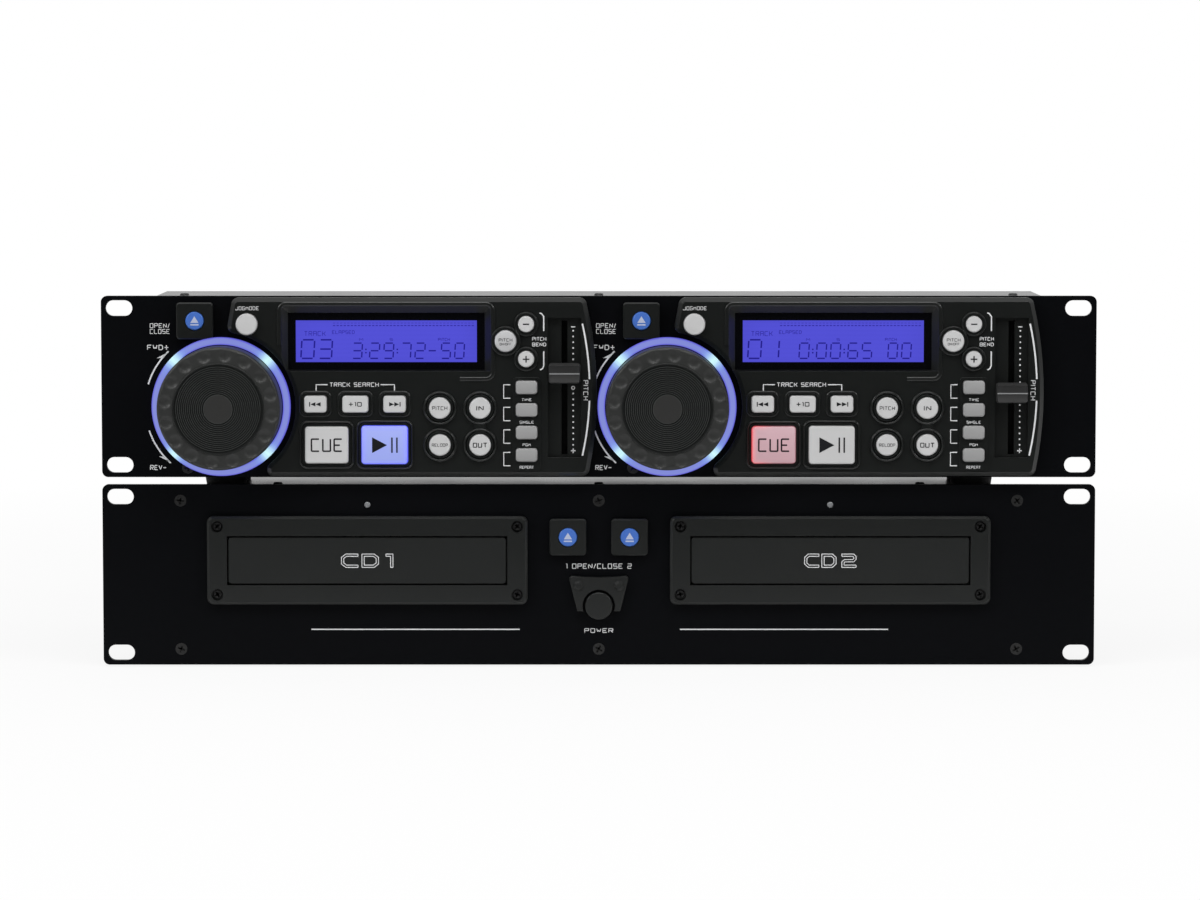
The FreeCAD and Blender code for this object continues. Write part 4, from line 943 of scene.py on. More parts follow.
def polyline(name: str, paths: Iterable[tuple[Sequence[Point], float, bool]]) -> bpy.types.Curve:
    """Straight-edged paths as one curve.

    Args:
        name: the curve's name.
        paths: X and Z of each path's corners, its height in the curve's own Z, and whether it is closed.

    Returns:
        The curve, to be turned upright once it is a mesh.
    """
    curve = bpy.data.curves.new(name, "CURVE")
    curve.dimensions = "3D"
    for points, height, closed in paths:
        spline = curve.splines.new("POLY")
        spline.points.add(len(points) - 1)
        for point, (x, z) in zip(spline.points, points):
            point.co = (x * MM, z * MM, height * MM, 1.0)
        spline.use_cyclic_u = closed
    return curve


class Level:
    """A flat front at one depth."""

    def __init__(self, depth: float) -> None:
        """Keeps Y of the front."""
        self.depth = depth

    def at(self, x: float, z: float) -> float:
        """Y of the front at a place."""
        return self.depth


class Relief(Level):
    """The front of some solids, found by looking along Y."""

    def __init__(self, *nodes: str) -> None:
        """Gathers the nodes' meshes.

        Args:
            nodes: the CAD nodes.
        """
        super().__init__(min(front(node) for node in nodes))
        gathered = bmesh.new()
        for node in nodes:
            gathered.from_mesh(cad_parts[node].data)
        self.tree = BVHTree.FromBMesh(gathered)
        gathered.free()

    def at(self, x: float, z: float) -> float:
        """Y of the first surface met at a place, or of the foremost one where there is none."""
        hit = self.tree.ray_cast(Vector((x * MM, self.depth * MM - 0.01, z * MM)), Vector((0.0, 1.0, 0.0)))
        return hit[0].y / MM if hit[0] is not None else self.depth


@dataclass
class Ink:
    """Print on a front: strokes and filled shapes, a thin film proud of the surface."""

    face: Level
    finish: Finish = WHITE_INK
    film: float = 0.05
    paths: list[tuple[float, float, list[Point], bool, float]] = field(default_factory=list)
    fills: list[tuple[list[Point], float]] = field(default_factory=list)

    def line(self, points: Sequence[Point], stroke: float, closed: bool = False, corner: float = 0.0,
             depth: float | None = None) -> None:
        """Adds a stroke.

        Args:
            points: X and Z of its corners, in millimetres.
            stroke: its width.
            closed: whether it returns to its start.
            corner: the radius of its corners.
            depth: Y of the surface under it, or none to look for it.
        """
        if depth is None:
            depth = self.level(points)
        self.paths.append((stroke, corner, list(points), closed, depth))

    def level(self, points: Sequence[Point]) -> float:
        """Y of the foremost surface under some points."""
        return min(self.face.at(x, z) for x, z in points)

    def fill(self, points: Sequence[Point]) -> None:
        """Adds a filled shape, its corners anticlockwise."""
        self.fills.append((list(points), self.level(points)))

    def word(self, text: str, left: float, right: float, foot: float, top: float, stroke: float,
             down: bool = False) -> None:
        """Writes a word between two sides and two lines.

        Args:
            text: the word.
            left: X of its left side.
            right: X of its right side.
            foot: Z of its base line.
            top: Z of its top line.
            stroke: the width of its strokes.
            down: whether it is turned to read downwards.
        """
        if down:
            upright = Ink(self.face)
            upright.word(text, 0.0, top - foot, 0.0, right - left, stroke)
            depth = self.face.at((left + right) / 2, (foot + top) / 2)
            for _, corner, points, closed, _ in upright.paths:
                self.line([(left + v, top - u) for u, v in points], stroke, closed, corner, depth)
            return
        gap = 2.0
        widths = [NARROW.get(letter, 4) for letter in text]
        total = sum(widths) + gap * (len(text) - 1)
        depth = self.level([(left, foot), (right, top), ((left + right) / 2, (foot + top) / 2)])
        across = (right - left - stroke) / total
        rise = (top - foot - stroke) / 4
        cursor = 0.0
        for letter, width in zip(text, widths):
            for path in GLYPHS[letter].split():
                marks = path.split("-")
                closed = marks[-1] == "z"
                points = [(left + stroke / 2 + (cursor + int(m[0])) * across, foot + stroke / 2 + int(m[1]) * rise)
                          for m in marks if m != "z"]
                self.line(points, stroke, closed, round(0.45 * min(across, rise), 2), depth)
            cursor += width + gap

    def digits(self, text: str, left: float, foot: float, width: float, height: float, pitch: float,
               stroke: float) -> None:
        """Writes seven-segment digits or a colon.

        Args:
            text: the digits.
            left: X of the first digit.
            foot: Z of its foot.
            width: the width of a digit.
            height: its height.
            pitch: from one digit to the next.
            stroke: the width of a segment.
        """
        cursor = left
        lean = 0.06
        for letter in text:
            if letter == ":":
                x = cursor - (pitch - width) * 0.3
                for z in (foot + 0.3 * height, foot + 0.7 * height):
                    self.line([(x, z), (x, z + stroke)], stroke)
            for bar in SEGMENTS.get(letter, ""):
                (a, b), (c, d) = (map(int, mark) for mark in BARS[bar].split("-"))
                start = Vector((a * width, b * height / 2))
                end = Vector((c * width, d * height / 2))
                inset = (end - start).normalized() * stroke * 0.7
                ends = [start + inset, end - inset]
                self.line([(cursor + p.x + p.y * lean, foot + p.y) for p in ends], stroke)
            cursor += pitch

    def mesh(self, name: str) -> bpy.types.Mesh:
        """Draws all of it.

        Args:
            name: the mesh's name.

        Returns:
            The print as one mesh.
        """
        parts = []
        for stroke, corner in sorted({(path[0], path[1]) for path in self.paths}):
            alike = [(points, self.film / 2 - depth, closed) for width, radius, points, closed, depth in self.paths
                     if (width, radius) == (stroke, corner)]
            parts.append((PEN.mesh("strokes", polyline("strokes", alike), Stroke=stroke * MM, Film=self.film * MM,
                                   Corner=corner * MM, Ink=self.finish.material()), 0))
        flat = joined(name, parts)
        flat.transform(Matrix.Rotation(math.pi / 2, 4, "X"))
        filled = [(slab("fill", points, depth - self.film, depth), 0) for points, depth in self.fills]
        return joined(name, [(flat, 0), *filled])


def arc(centre: Point, radius: float, start: float, end: float, steps: int = 16) -> list[Point]:
    """Points of an arc from one angle to another, in degrees, in equal steps."""
    turns = (math.radians(start + (end - start) * k / steps) for k in range(steps + 1))
    return [(centre[0] + radius * math.cos(t), centre[1] + radius * math.sin(t)) for t in turns]


def middle(node: str) -> tuple[float, float, float]:
    """The middle of a node's box, in millimetres."""
    low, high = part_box(node)
    return tuple((low[k] + high[k]) / 2 / MM for k in range(3))


def front(node: str) -> float:
    """Y of a node's foremost point, in millimetres."""
    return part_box(node)[0][1] / MM


# ------------------------------------------------------------------ assemblies
PANEL_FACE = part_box("control_front_panel")[0][1] / MM
DECK_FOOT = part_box("control_front_panel")[0][2] / MM
DRIVE_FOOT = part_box("drive_front_panel")[0][2] / MM
STACK = "rack_stack"


class Side(Enum):
    """The two decks and trays, by their number."""

    LEFT = 1
    RIGHT = 2


# how the solids of a node are told apart, in millimetres
BOARD_THICK, BOARD_WIDE = 1.7, 20.0
BLOCK_THICK, BLOCK_WIDE = 9.0, 60.0
SPACER_WIDE = 3.2
ROUND_WITHIN, MOTOR_TALL, MOTOR_WIDE = 0.5, 15.0, 10.0
PHONO_WIDE = 10.0


def plain_solid(centre: Vector, size: Vector) -> int:
    """The first finish for every solid."""
    return 0


def board_part(centre: Vector, size: Vector) -> int:
    """Tells boards, black switches and tracks, steel blocks and nickel spacers apart.

    Args:
        centre: the middle of a solid's box.
        size: its size.

    Returns:
        The number of its finish.
    """
    if min(size) < BOARD_THICK and max(size) > BOARD_WIDE:
        return 0
    if max(size) > BLOCK_WIDE and min(size) > BLOCK_THICK:
        return 2
    return 3 if sorted(size)[1] < SPACER_WIDE else 1


def mechanism_part(centre: Vector, size: Vector) -> int:
    """Black frames and posts, nickel motors and clamps."""
    rounded = abs(size.x - size.y) < ROUND_WITHIN
    return 1 if rounded and min(size) < MOTOR_TALL and size.x > MOTOR_WIDE else 0


class Frames:
    """Panels, housings, covers, feet, boards and what else needs only its finish."""

    # the finishes of each node, its slot, and how far its edges are eased
    DRESS: ClassVar = {
        "drive_front_panel": ([PANEL_BLACK], "panel_black", 0.3),
        "control_front_panel": ([PANEL_BLACK], "panel_black", 0.3),
        "drive_chassis": ([CASE_BLACK], "case_black", 0.0),
        "control_chassis": ([CASE_BLACK], "case_black", 0.0),
        "top_covers": ([CASE_BLACK], "case_black", 0.0),
        "mains_inlet": ([SOCKET_BLACK], "socket_black", 0.0),
        "panel_bezels": ([CHARCOAL], "moulding_charcoal", 0.4),
        "deck_fascias": ([FASCIA], "moulding_charcoal", 0.45),
        "feet": ([FOOT_RUBBER], "foot_rubber", 0.0),
        "circuit_boards": ([BOARD_GREEN, CHIP_BLACK, STEEL, NICKEL], "board_green", 0.0),
        "disc_mechanisms": ([LOADER_BLACK, NICKEL], "loader_black", 0.0),
    }
    RULES: ClassVar = {"circuit_boards": board_part, "disc_mechanisms": mechanism_part}

    def build(self) -> None:
        """Refines and dresses each of the nodes."""
        for node, (finishes, slot, ease) in self.DRESS.items():
            mesh = Refined(node, ease).mesh()
            by_island(mesh, self.RULES.get(node, plain_solid))
            finished(node + "_dressed", mesh, STACK, finishes, [node])


def screwed(wiring: Wiring, at: dict[str, Signal]) -> Signal:
    """One screw, made from its sizes, with a cross cut in its head, set on every point and turned a little.

    Args:
        wiring: the tree's nodes.
        at: the tree's inputs by name.

    Returns:
        The screws.
    """
    head = wiring.node("GeometryNodeMeshCone", {}, {
        "Vertices": 28, "Side Segments": 2, "Radius Top": at["Crown Radius"], "Radius Bottom": at["Head Radius"],
        "Depth": at["Head Height"]})
    low = wiring.vector(z=at["Head Height"] * -1.0)
    lowered = wiring.node("GeometryNodeTransform", {}, {"Geometry": head, "Translation": low})
    long, short, deep = at["Slot Length"], at["Slot Width"], at["Slot Depth"] * 2.0
    cuts = [wiring.node("GeometryNodeMeshCube", {}, {"Size": wiring.vector(x, y, deep)})
            for x, y in ((long, short), (short, long))]
    recess = wiring.node("GeometryNodeMeshBoolean", {"operation": "UNION"}, {"Mesh 2": cuts[0]})
    wiring.feed(recess.socket.node.inputs["Mesh 2"], cuts[1])
    cut = wiring.node("GeometryNodeMeshBoolean", {"operation": "DIFFERENCE"}, {"Mesh 1": lowered, "Mesh 2": recess})
    shank = wiring.node("GeometryNodeMeshCylinder", {}, {
        "Vertices": 16, "Radius": at["Shank Radius"], "Depth": at["Shank Length"]})
    sunk = wiring.vector(z=(at["Head Height"] + at["Shank Length"] * 0.5) * -1.0)
    below = wiring.node("GeometryNodeTransform", {}, {"Geometry": shank, "Translation": sunk})
    whole = wiring.node("GeometryNodeJoinGeometry", {}, {"Geometry": cut})
    wiring.feed(whole.socket.node.inputs["Geometry"], below)
    order = wiring.node("GeometryNodeInputIndex")
    tipped = at["Tip"] / (math.pi / 2)
    twist = at["Turn"] * (order + 1.0)
    spin = wiring.vector(at["Tip"], twist * tipped, twist * (1.0 - tipped))
    return wiring.node("GeometryNodeInstanceOnPoints", {},
                       {"Points": at["Places"], "Instance": whole, "Rotation": spin})


CROSS_SCREWS = Rule("cross_screws", "Places", ("Head Radius", "Crown Radius", "Head Height", "Shank Radius",
                                               "Shank Length", "Slot Width", "Slot Length", "Slot Depth", "Turn",
                                               "Tip"), "Finish", "Screws", screwed)


@dataclass
class Screws:
    """Cross-recessed screws: flat heads in the panels, pan heads on the bezels and the covers.

    slot_reach and slot_depth are shares of the head's radius and height, and turn is in radians from each screw
    to the next. The last three sizes tell the frame's screws apart.
    """

    slot_width: float = 0.9
    slot_reach: float = 0.62
    slot_depth: float = 0.7
    turn: float = 0.35
    crease: float = 40.0
    lid_level: float = 85.0
    flat_width: float = 5.9
    pan_length: float = 5.5

    # radius and crown of the head, its height, radius and length of the shank, and whether it is upright
    FLAT: ClassVar = (3.0, 2.9, 1.5, 1.5, 5.0, False)
    PAN: ClassVar = (2.6, 1.9, 1.6, 1.3, 4.6, False)
    LID: ClassVar = (2.6, 1.9, 1.2, 1.5, 2.6, True)

    def group(self, places: Sequence[Vector], radius: float, crown: float, head: float, shank: float,
              length: float, upright: bool) -> bpy.types.Mesh:
        """Screws of one kind.

        Args:
            places: the tops of their heads, in millimetres.
            radius: the head's radius.
            crown: the radius of the head's top.
            head: its height.
            shank: the shank's radius.
            length: its length under the head.
            upright: whether they are driven downwards instead of backwards.

        Returns:
            Their mesh.
        """
        points = bpy.data.meshes.new("screw_places")
        points.from_pydata([tuple(place * MM) for place in places], [], [])
        return smooth(CROSS_SCREWS.mesh(
            "screws", points, Head_Radius=radius * MM, Crown_Radius=crown * MM, Head_Height=head * MM,
            Shank_Radius=shank * MM, Shank_Length=length * MM, Slot_Width=self.slot_width * MM,
            Slot_Length=2.0 * self.slot_reach * radius * MM, Slot_Depth=head * self.slot_depth * MM, Turn=self.turn,
            Tip=0.0 if upright else math.pi / 2, Finish=SCREW_BLACK.material()), self.crease)

    def build(self) -> None:
        """Finds the places in the frame's screws and sets a screw on each."""
        solids = solids_of("screws")
        lids = [c + Vector((0, 0, s.z / 2)) for c, s in solids if c.z > self.lid_level and s.x > s.z]
        flats = [c - Vector((0, s.y / 2, 0)) for c, s in solids if s.x > self.flat_width]
        pans = [c - Vector((0, s.y / 2, 0)) for c, s in solids if s.x < self.flat_width and s.y > self.pan_length]
        kinds = ((flats, self.FLAT), (pans, self.PAN), (lids, self.LID))
        parts = [(self.group(places, *kind), 0) for places, kind in kinds]
        finished("screws_dressed", joined("screws", parts), STACK, [SCREW_BLACK], ["screws"])


@dataclass
class RearSockets:
    """Phono outputs and link sockets on the backs, with insulators and contacts."""

    barrel_radius: float = 4.2
    bore_radius: float = 3.1
    pin_ring: float = 3.4
    crease: float = 30.0

    def phono(self, axis: Point, back: float, wall: float, tint: int) -> list[tuple[bpy.types.Mesh, int]]:
        """One phono output.

        Args:
            axis: X and Z of its middle.
            back: Y of its end.
            wall: Y of the wall that it stands on.
            tint: the material index of its insulator.

        Returns:
            Its barrel, insulator and contact.
        """
        barrel = [(self.bore_radius, back - 5.6), (self.bore_radius, back - 0.2), (self.bore_radius + 0.2, back),
                  (self.barrel_radius - 0.3, back), (self.barrel_radius, back - 0.3), (self.barrel_radius, wall),
                  (self.bore_radius, wall), (self.bore_radius, back - 5.6)]
        insulator = [(1.5, back - 5.0), (1.5, back - 0.9), (1.7, back - 0.7), (self.bore_radius - 0.1, back - 0.7),
                     (self.bore_radius, back - 0.8), (self.bore_radius, back - 5.6), (1.5, back - 5.0)]
        contact = [(0.0, back - 4.0), (1.5, back - 4.0), (1.5, back - 5.6), (0.0, back - 5.6)]
        return [(smooth(turned("phono", axis, profile, steps), self.crease), index)
                for profile, steps, index in ((barrel, 48, 0), (insulator, 48, tint), (contact, 32, 0))]

    def link(self, axis: Point, back: float, wall: float, outer: float) -> list[tuple[bpy.types.Mesh, int]]:
        """One round link socket.

        Args:
            axis: X and Z of its middle.
            back: Y of its end.
            wall: Y of the wall that it stands on.
            outer: the shell's radius.

        Returns:
            Its nickel shell, its black insert and its five contacts.
        """
        shell = [(outer - 1.2, wall), (outer - 1.2, back - 0.15), (outer - 1.05, back), (outer - 0.3, back),
                 (outer, back - 0.3), (outer, wall), (outer - 1.2, wall)]
        insert = [(0.0, back - 0.5), (outer - 1.2, back - 0.5), (outer - 1.2, wall), (0.0, wall)]
        pin = [(0.0, back - 0.35), (0.55, back - 0.35), (0.62, back - 0.42), (0.62, back - 0.5), (0.0, back - 0.5)]
        turns = [(axis, shell, 64, 0), (axis, insert, 64, 1)]
        turns += [(place, pin, 16, 0) for place in arc(axis, self.pin_ring, 180, 360, 4)]
        return [(smooth(turned("link", place, profile, steps), self.crease), index)
                for place, profile, steps, index in turns]

    def build(self) -> None:
        """Sets a socket on each place that the frame gives."""
        solids = solids_of("rear_sockets")
        phonos = [c.z for c, s in solids if s.x < PHONO_WIDE]
        middle_row = sum(phonos) / len(phonos)
        parts = []
        for centre, size in solids:
            place = (centre.x, centre.z), centre.y + size.y / 2, centre.y - size.y / 2
            if size.x < PHONO_WIDE:
                parts += self.phono(*place, 2 if centre.z > middle_row else 3)
            else:
                parts += self.link(*place, size.x / 2)
        finished("rear_sockets_dressed", joined("rear_sockets", parts), STACK,
                 [NICKEL, SOCKET_BLACK, JACK_WHITE, JACK_RED], ["rear_sockets"])


def dimpled(wiring: Wiring, at: dict[str, Signal]) -> Signal:
    """The finger dimples: every point near a dimple's middle sinks into its bowl.

    Args:
        wiring: the tree's nodes.
        at: the tree's inputs by name.

    Returns:
        The dimpled wheel.
    """
    x, depth, z = wiring.split(wiring.node("GeometryNodeInputPosition"))
    across, up = x - at["Axis X"], z - at["Axis Z"]
    turn = up.maths("ARCTAN2", across) - at["Phase"]
    share = 2.0 * math.pi / at["Count"]
    nearest = (turn / share).maths("ROUND") * share + at["Phase"]
    off_x = across - nearest.maths("COSINE") * at["Ring"]
    off_z = up - nearest.maths("SINE") * at["Ring"]
    away = (off_x * off_x + off_z * off_z) ** 0.5
    fall = (1.0 - (away / at["Bowl"]) ** 2.0).held()
    sunk = (fall ** 0.8) * at["Depth"] * (1.0 - depth.above(at["Front"]))
    return wiring.node("GeometryNodeSetPosition", {}, {"Geometry": at["Wheel"], "Offset": wiring.vector(y=sunk)})


FINGER_DIMPLES = Rule("finger_dimples", "Wheel", ("Axis X", "Axis Z", "Count", "Ring", "Bowl", "Depth", "Phase",
                                                  "Front"), "Finish", "Wheel", dimpled)


@dataclass
class JogWheel:
    """The jog wheel: a turned body with finger dimples and a grooved pad whose grooves carry painted shade and whose
    ridges carry a painted highlight.
    """

    side: Side
    radius: float = 29.7
    pad_radius: float = 22.2
    pad_middle: float = 7.1
    pad_rise: float = 0.7
    groove_depth: float = 0.28
    groove_count: int = 15
    dimple_count: int = 16
    dimple_ring: float = 26.0
    dimple_radius: float = 3.3
    dimple_depth: float = 1.15
    dimple_phase: float = 15.0
    reach: float = 20.0
    rim: float = 1.6
    steps: int = 192
    crease: float = 40.0
    level_play: float = 0.02

    def face_level(self) -> float:
        """Y of the wheel's flat face."""
        return PANEL_FACE - self.reach

    def profile(self) -> list[Point]:
        """The section of the wheel from its middle outwards.

        Returns:
            Radius and Y of each ring.
        """
        pad = self.face_level()
        land = pad + self.pad_rise
        points = [(0.0, pad), (2.4, pad), (4.8, pad), (self.pad_middle - 0.3, pad)]
        pitch = (self.pad_radius - 0.8 - self.pad_middle) / self.groove_count
        for k in range(self.groove_count):
            start = self.pad_middle + k * pitch
            points += [(start, pad), (start + pitch * 0.16, pad + self.groove_depth),
                       (start + pitch * 0.54, pad + self.groove_depth), (start + pitch * 0.7, pad)]
        points += [(self.pad_radius - 0.5, pad + 0.04), (self.pad_radius - 0.12, pad + 0.3),
                   (self.pad_radius, land)]
        start = self.pad_radius + 0.25
        end = self.radius - self.rim
        points += [(start + (end - start) * k / 13, land) for k in range(14)]
        points += [(end + self.rim * math.sin(math.radians(a)), land + self.rim * (1 - math.cos(math.radians(a))))
                   for a in (15, 30, 45, 60, 75, 90)]
        points += [(self.radius, PANEL_FACE - 6.0), (self.radius, PANEL_FACE - 1.0), (self.radius - 0.6, PANEL_FACE),
                   (6.0, PANEL_FACE + 0.5), (4.0, PANEL_FACE + 4.0), (0.0, PANEL_FACE + 4.0)]
        return points

    def build(self) -> None:
        """Turns the wheel, sinks its dimples and dresses it."""
        node = f"jog_wheel_{self.side.value}"
        x, _, z = middle(node)
        mesh = FINGER_DIMPLES.mesh(
            node, turned("wheel", (x, z), self.profile(), self.steps), Axis_X=x * MM, Axis_Z=z * MM,
            Count=float(self.dimple_count), Ring=self.dimple_ring * MM, Bowl=self.dimple_radius * MM,
            Depth=self.dimple_depth * MM, Phase=math.radians(self.dimple_phase),
            Front=(self.face_level() + self.pad_rise + 0.1) * MM, Finish=WHEEL_BLACK.material())
        for face in mesh.polygons:
            away = math.hypot(face.center.x / MM - x, face.center.z / MM - z)
            level = face.center.y / MM
            on_pad = level < self.face_level() + self.groove_depth + self.level_play and away < self.pad_radius
            if on_pad:
                # the pad's front ridges take the painted highlight, its grooves and edge the painted shade
                ridge = level < self.face_level() + self.level_play and away < self.pad_radius - 1.0
                face.material_index = 2 if away < self.pad_middle - 0.2 else (3 if ridge else 1)
        smooth(mesh, self.crease)
        moving(node, mesh, [WHEEL_BLACK, PAD_PAINTED_SHADE, PAD_MIDDLE, PAD_RIDGE_PAINTED_HIGHLIGHT])


@dataclass
class Key:
    """One key cap with its print."""

    node: str
    finish: Finish = KEY_GREY
    slot: str = "key_grey"
    legend: "Legend | None" = None

    def build(self) -> None:
        """Refines the cap, marks where each point lies on it, and prints its legend."""
        mesh = Refined(self.node).mesh()
        low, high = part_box(self.node)
        centre, half = (low + high) / 2, (high - low) / 2
        rise = mesh.attributes.new("rise", "FLOAT", "POINT")
        side = mesh.attributes.new("side", "FLOAT", "POINT")
        for k, vertex in enumerate(mesh.vertices):
            off = vertex.co - centre
            rise.data[k].value = off.z / half.z / 2 + 0.5
            side.data[k].value = off.x / half.x
        parts = [(mesh, 0)]
        finishes = [self.finish]
        if self.legend is not None:
            ink = Ink(Relief(self.node), BUTTON_INK if self.slot == "button_blue" else DARK_INK)
            self.legend(self, ink)
            parts.append((ink.mesh(self.node + "_print"), 1))
            finishes.append(ink.finish)
        moving(self.node, joined(self.node, parts), finishes)


Legend = Callable[[Key, Ink], None]
SIGN_STROKE = 0.62


def triangle(ink: Ink, x: float, z: float, size: float, rise: float, way: int) -> None:
    """Adds a filled triangle round a middle, as long as size, that points right for a way of 1, left for -1."""
    points = [(x - way * size / 2, z - rise / 2), (x + way * size / 2, z), (x - way * size / 2, z + rise / 2)]
    ink.fill(points if way > 0 else points[::-1])


def eject_mark(key: Key, ink: Ink) -> None:
    """Prints a triangle over a bar.

    Args:
        key: the key.
        ink: its print.
    """
    x, _, z = middle(key.node)
    ink.fill([(x - 2.0, z - 0.9), (x + 2.0, z - 0.9), (x, z + 2.3)])
    ink.fill([(x - 2.0, z - 2.2), (x + 2.0, z - 2.2), (x + 2.0, z - 1.5), (x - 2.0, z - 1.5)])


def skip(way: int, key: Key, ink: Ink) -> None:
    """Prints a bar and two triangles that point one way.

    Args:
        way: 1 for right, -1 for left.
        key: the key.
        ink: its print.
    """
    x, _, z = middle(key.node)
    ink.line([(x + way * 2.7, z - 1.1), (x + way * 2.7, z + 1.1)], 0.5)
    for off in sorted((-way * 1.4, way * 1.1)):
        triangle(ink, x + off, z, 2.4, 2.1, way)


def strokes(paths: Sequence[Sequence[Point]], key: Key, ink: Ink) -> None:
    """Prints a sign made of strokes.

    Args:
        paths: the strokes, from the key's middle.
        key: the key.
        ink: its print.
    """
    x, _, z = middle(key.node)
    for path in paths:
        ink.line([(x + u, z + v) for u, v in path], SIGN_STROKE)


def words(lines: Sequence[tuple[str, float, float, float, float]], key: Key, ink: Ink) -> None:
    """Prints words.

    Args:
        lines: the text, width, height, stroke and rise above the key's middle of each word.
        key: the key.
        ink: its print.
    """
    x, _, z = middle(key.node)
    for text, width, height, stroke, rise in lines:
        level = z + rise
        ink.word(text, x - width / 2, x + width / 2, level - height / 2, level + height / 2, stroke)


def play_pause(key: Key, ink: Ink) -> None:
    """Prints a triangle and two bars.

    Args:
        key: the key.
        ink: its print.
    """
    x, _, z = middle(key.node)
    triangle(ink, x - 2.4, z, 7.2, 7.6, 1)
    for off in (3.6, 6.0):
        ink.line([(x + off, z - 3.7), (x + off, z + 3.7)], 0.75)


KEY_LEGENDS: dict[str, Legend] = {
    "track_back": partial(skip, -1),
    "plus_ten": partial(words, [("+10", 6.4, 2.2, 0.42, 0.0)]),
    "track_forward": partial(skip, 1),
    "cue": partial(words, [("CUE", 15.4, 6.6, 0.75, 0.0)]),
    "play": play_pause,
    "pitch": partial(words, [("PITCH", 7.4, 1.9, 0.27, 0.0)]),
    "loop_in": partial(words, [("IN", 3.6, 2.5, 0.42, 0.0)]),
    "reloop": partial(words, [("RELOOP", 7.8, 1.6, 0.22, 0.0)]),
    "loop_out": partial(words, [("OUT", 7.0, 2.4, 0.42, 0.0)]),
    "pitch_on": partial(words, [("PITCH", 6.6, 1.6, 0.24, 0.6), ("ON/OFF", 5.6, 1.2, 0.18, -1.4)]),
    "bend_minus": partial(strokes, [[(-1.5, 0.0), (1.5, 0.0)]]),
    "bend_plus": partial(strokes, [[(-1.6, 0.0), (1.6, 0.0)], [(0.0, -1.6), (0.0, 1.6)]]),
}


@dataclass(frozen=True)
class Rim:
    """The path of one raised rim, its corner radius, half its width and its height."""

    path: Sequence[Point]
    corner: float
    bead: float = 0.75
    base: float = 1.2
    closed: bool = True

    @classmethod
    def around(cls, x: float, z: float, half_width: float, half_height: float, corner: float, bead: float,
               base: float) -> "Rim":
        """A closed rim on a rounded rectangle.

        Args:
            x: X of its middle.
            z: Z of its middle.
            half_width: half its width.
            half_height: half its height.
            corner: the radius of its corners.
            bead: half the bead's width.
            base: the height of the bead's base.

        Returns:
            The rim.
        """
        path = [(x - half_width, z - half_height), (x + half_width, z - half_height),
                (x + half_width, z + half_height), (x - half_width, z + half_height)]
        return cls(path, corner, bead, base)


def beaded(wiring: Wiring, at: dict[str, Signal]) -> Signal:
    """A rim: a path with rounded corners that an oval bead follows.

    Args:
        wiring: the tree's nodes.
        at: the tree's inputs by name.

    Returns:
        The rim.
    """
    rounded = filleted(wiring, at["Path"], at["Corner"], 14, Limit_Radius=True)
    bead = wiring.node("GeometryNodeCurvePrimitiveCircle", {}, {"Resolution": 20, "Radius": 1.0})
    flattened = wiring.vector(at["Bead Width"], at["Bead Height"], 1.0)
    oval = wiring.node("GeometryNodeTransform", {}, {"Geometry": bead, "Scale": flattened})
    swept = wiring.node("GeometryNodeCurveToMesh", {}, {"Curve": rounded, "Profile Curve": oval, "Fill Caps": True})
    return wiring.node("GeometryNodeSetShadeSmooth", {}, {"Geometry": swept, "Shade Smooth": True})


RAISED_RIM = Rule("raised_rim", "Path", ("Corner", "Bead Width", "Bead Height"), "Finish", "Rim", beaded)


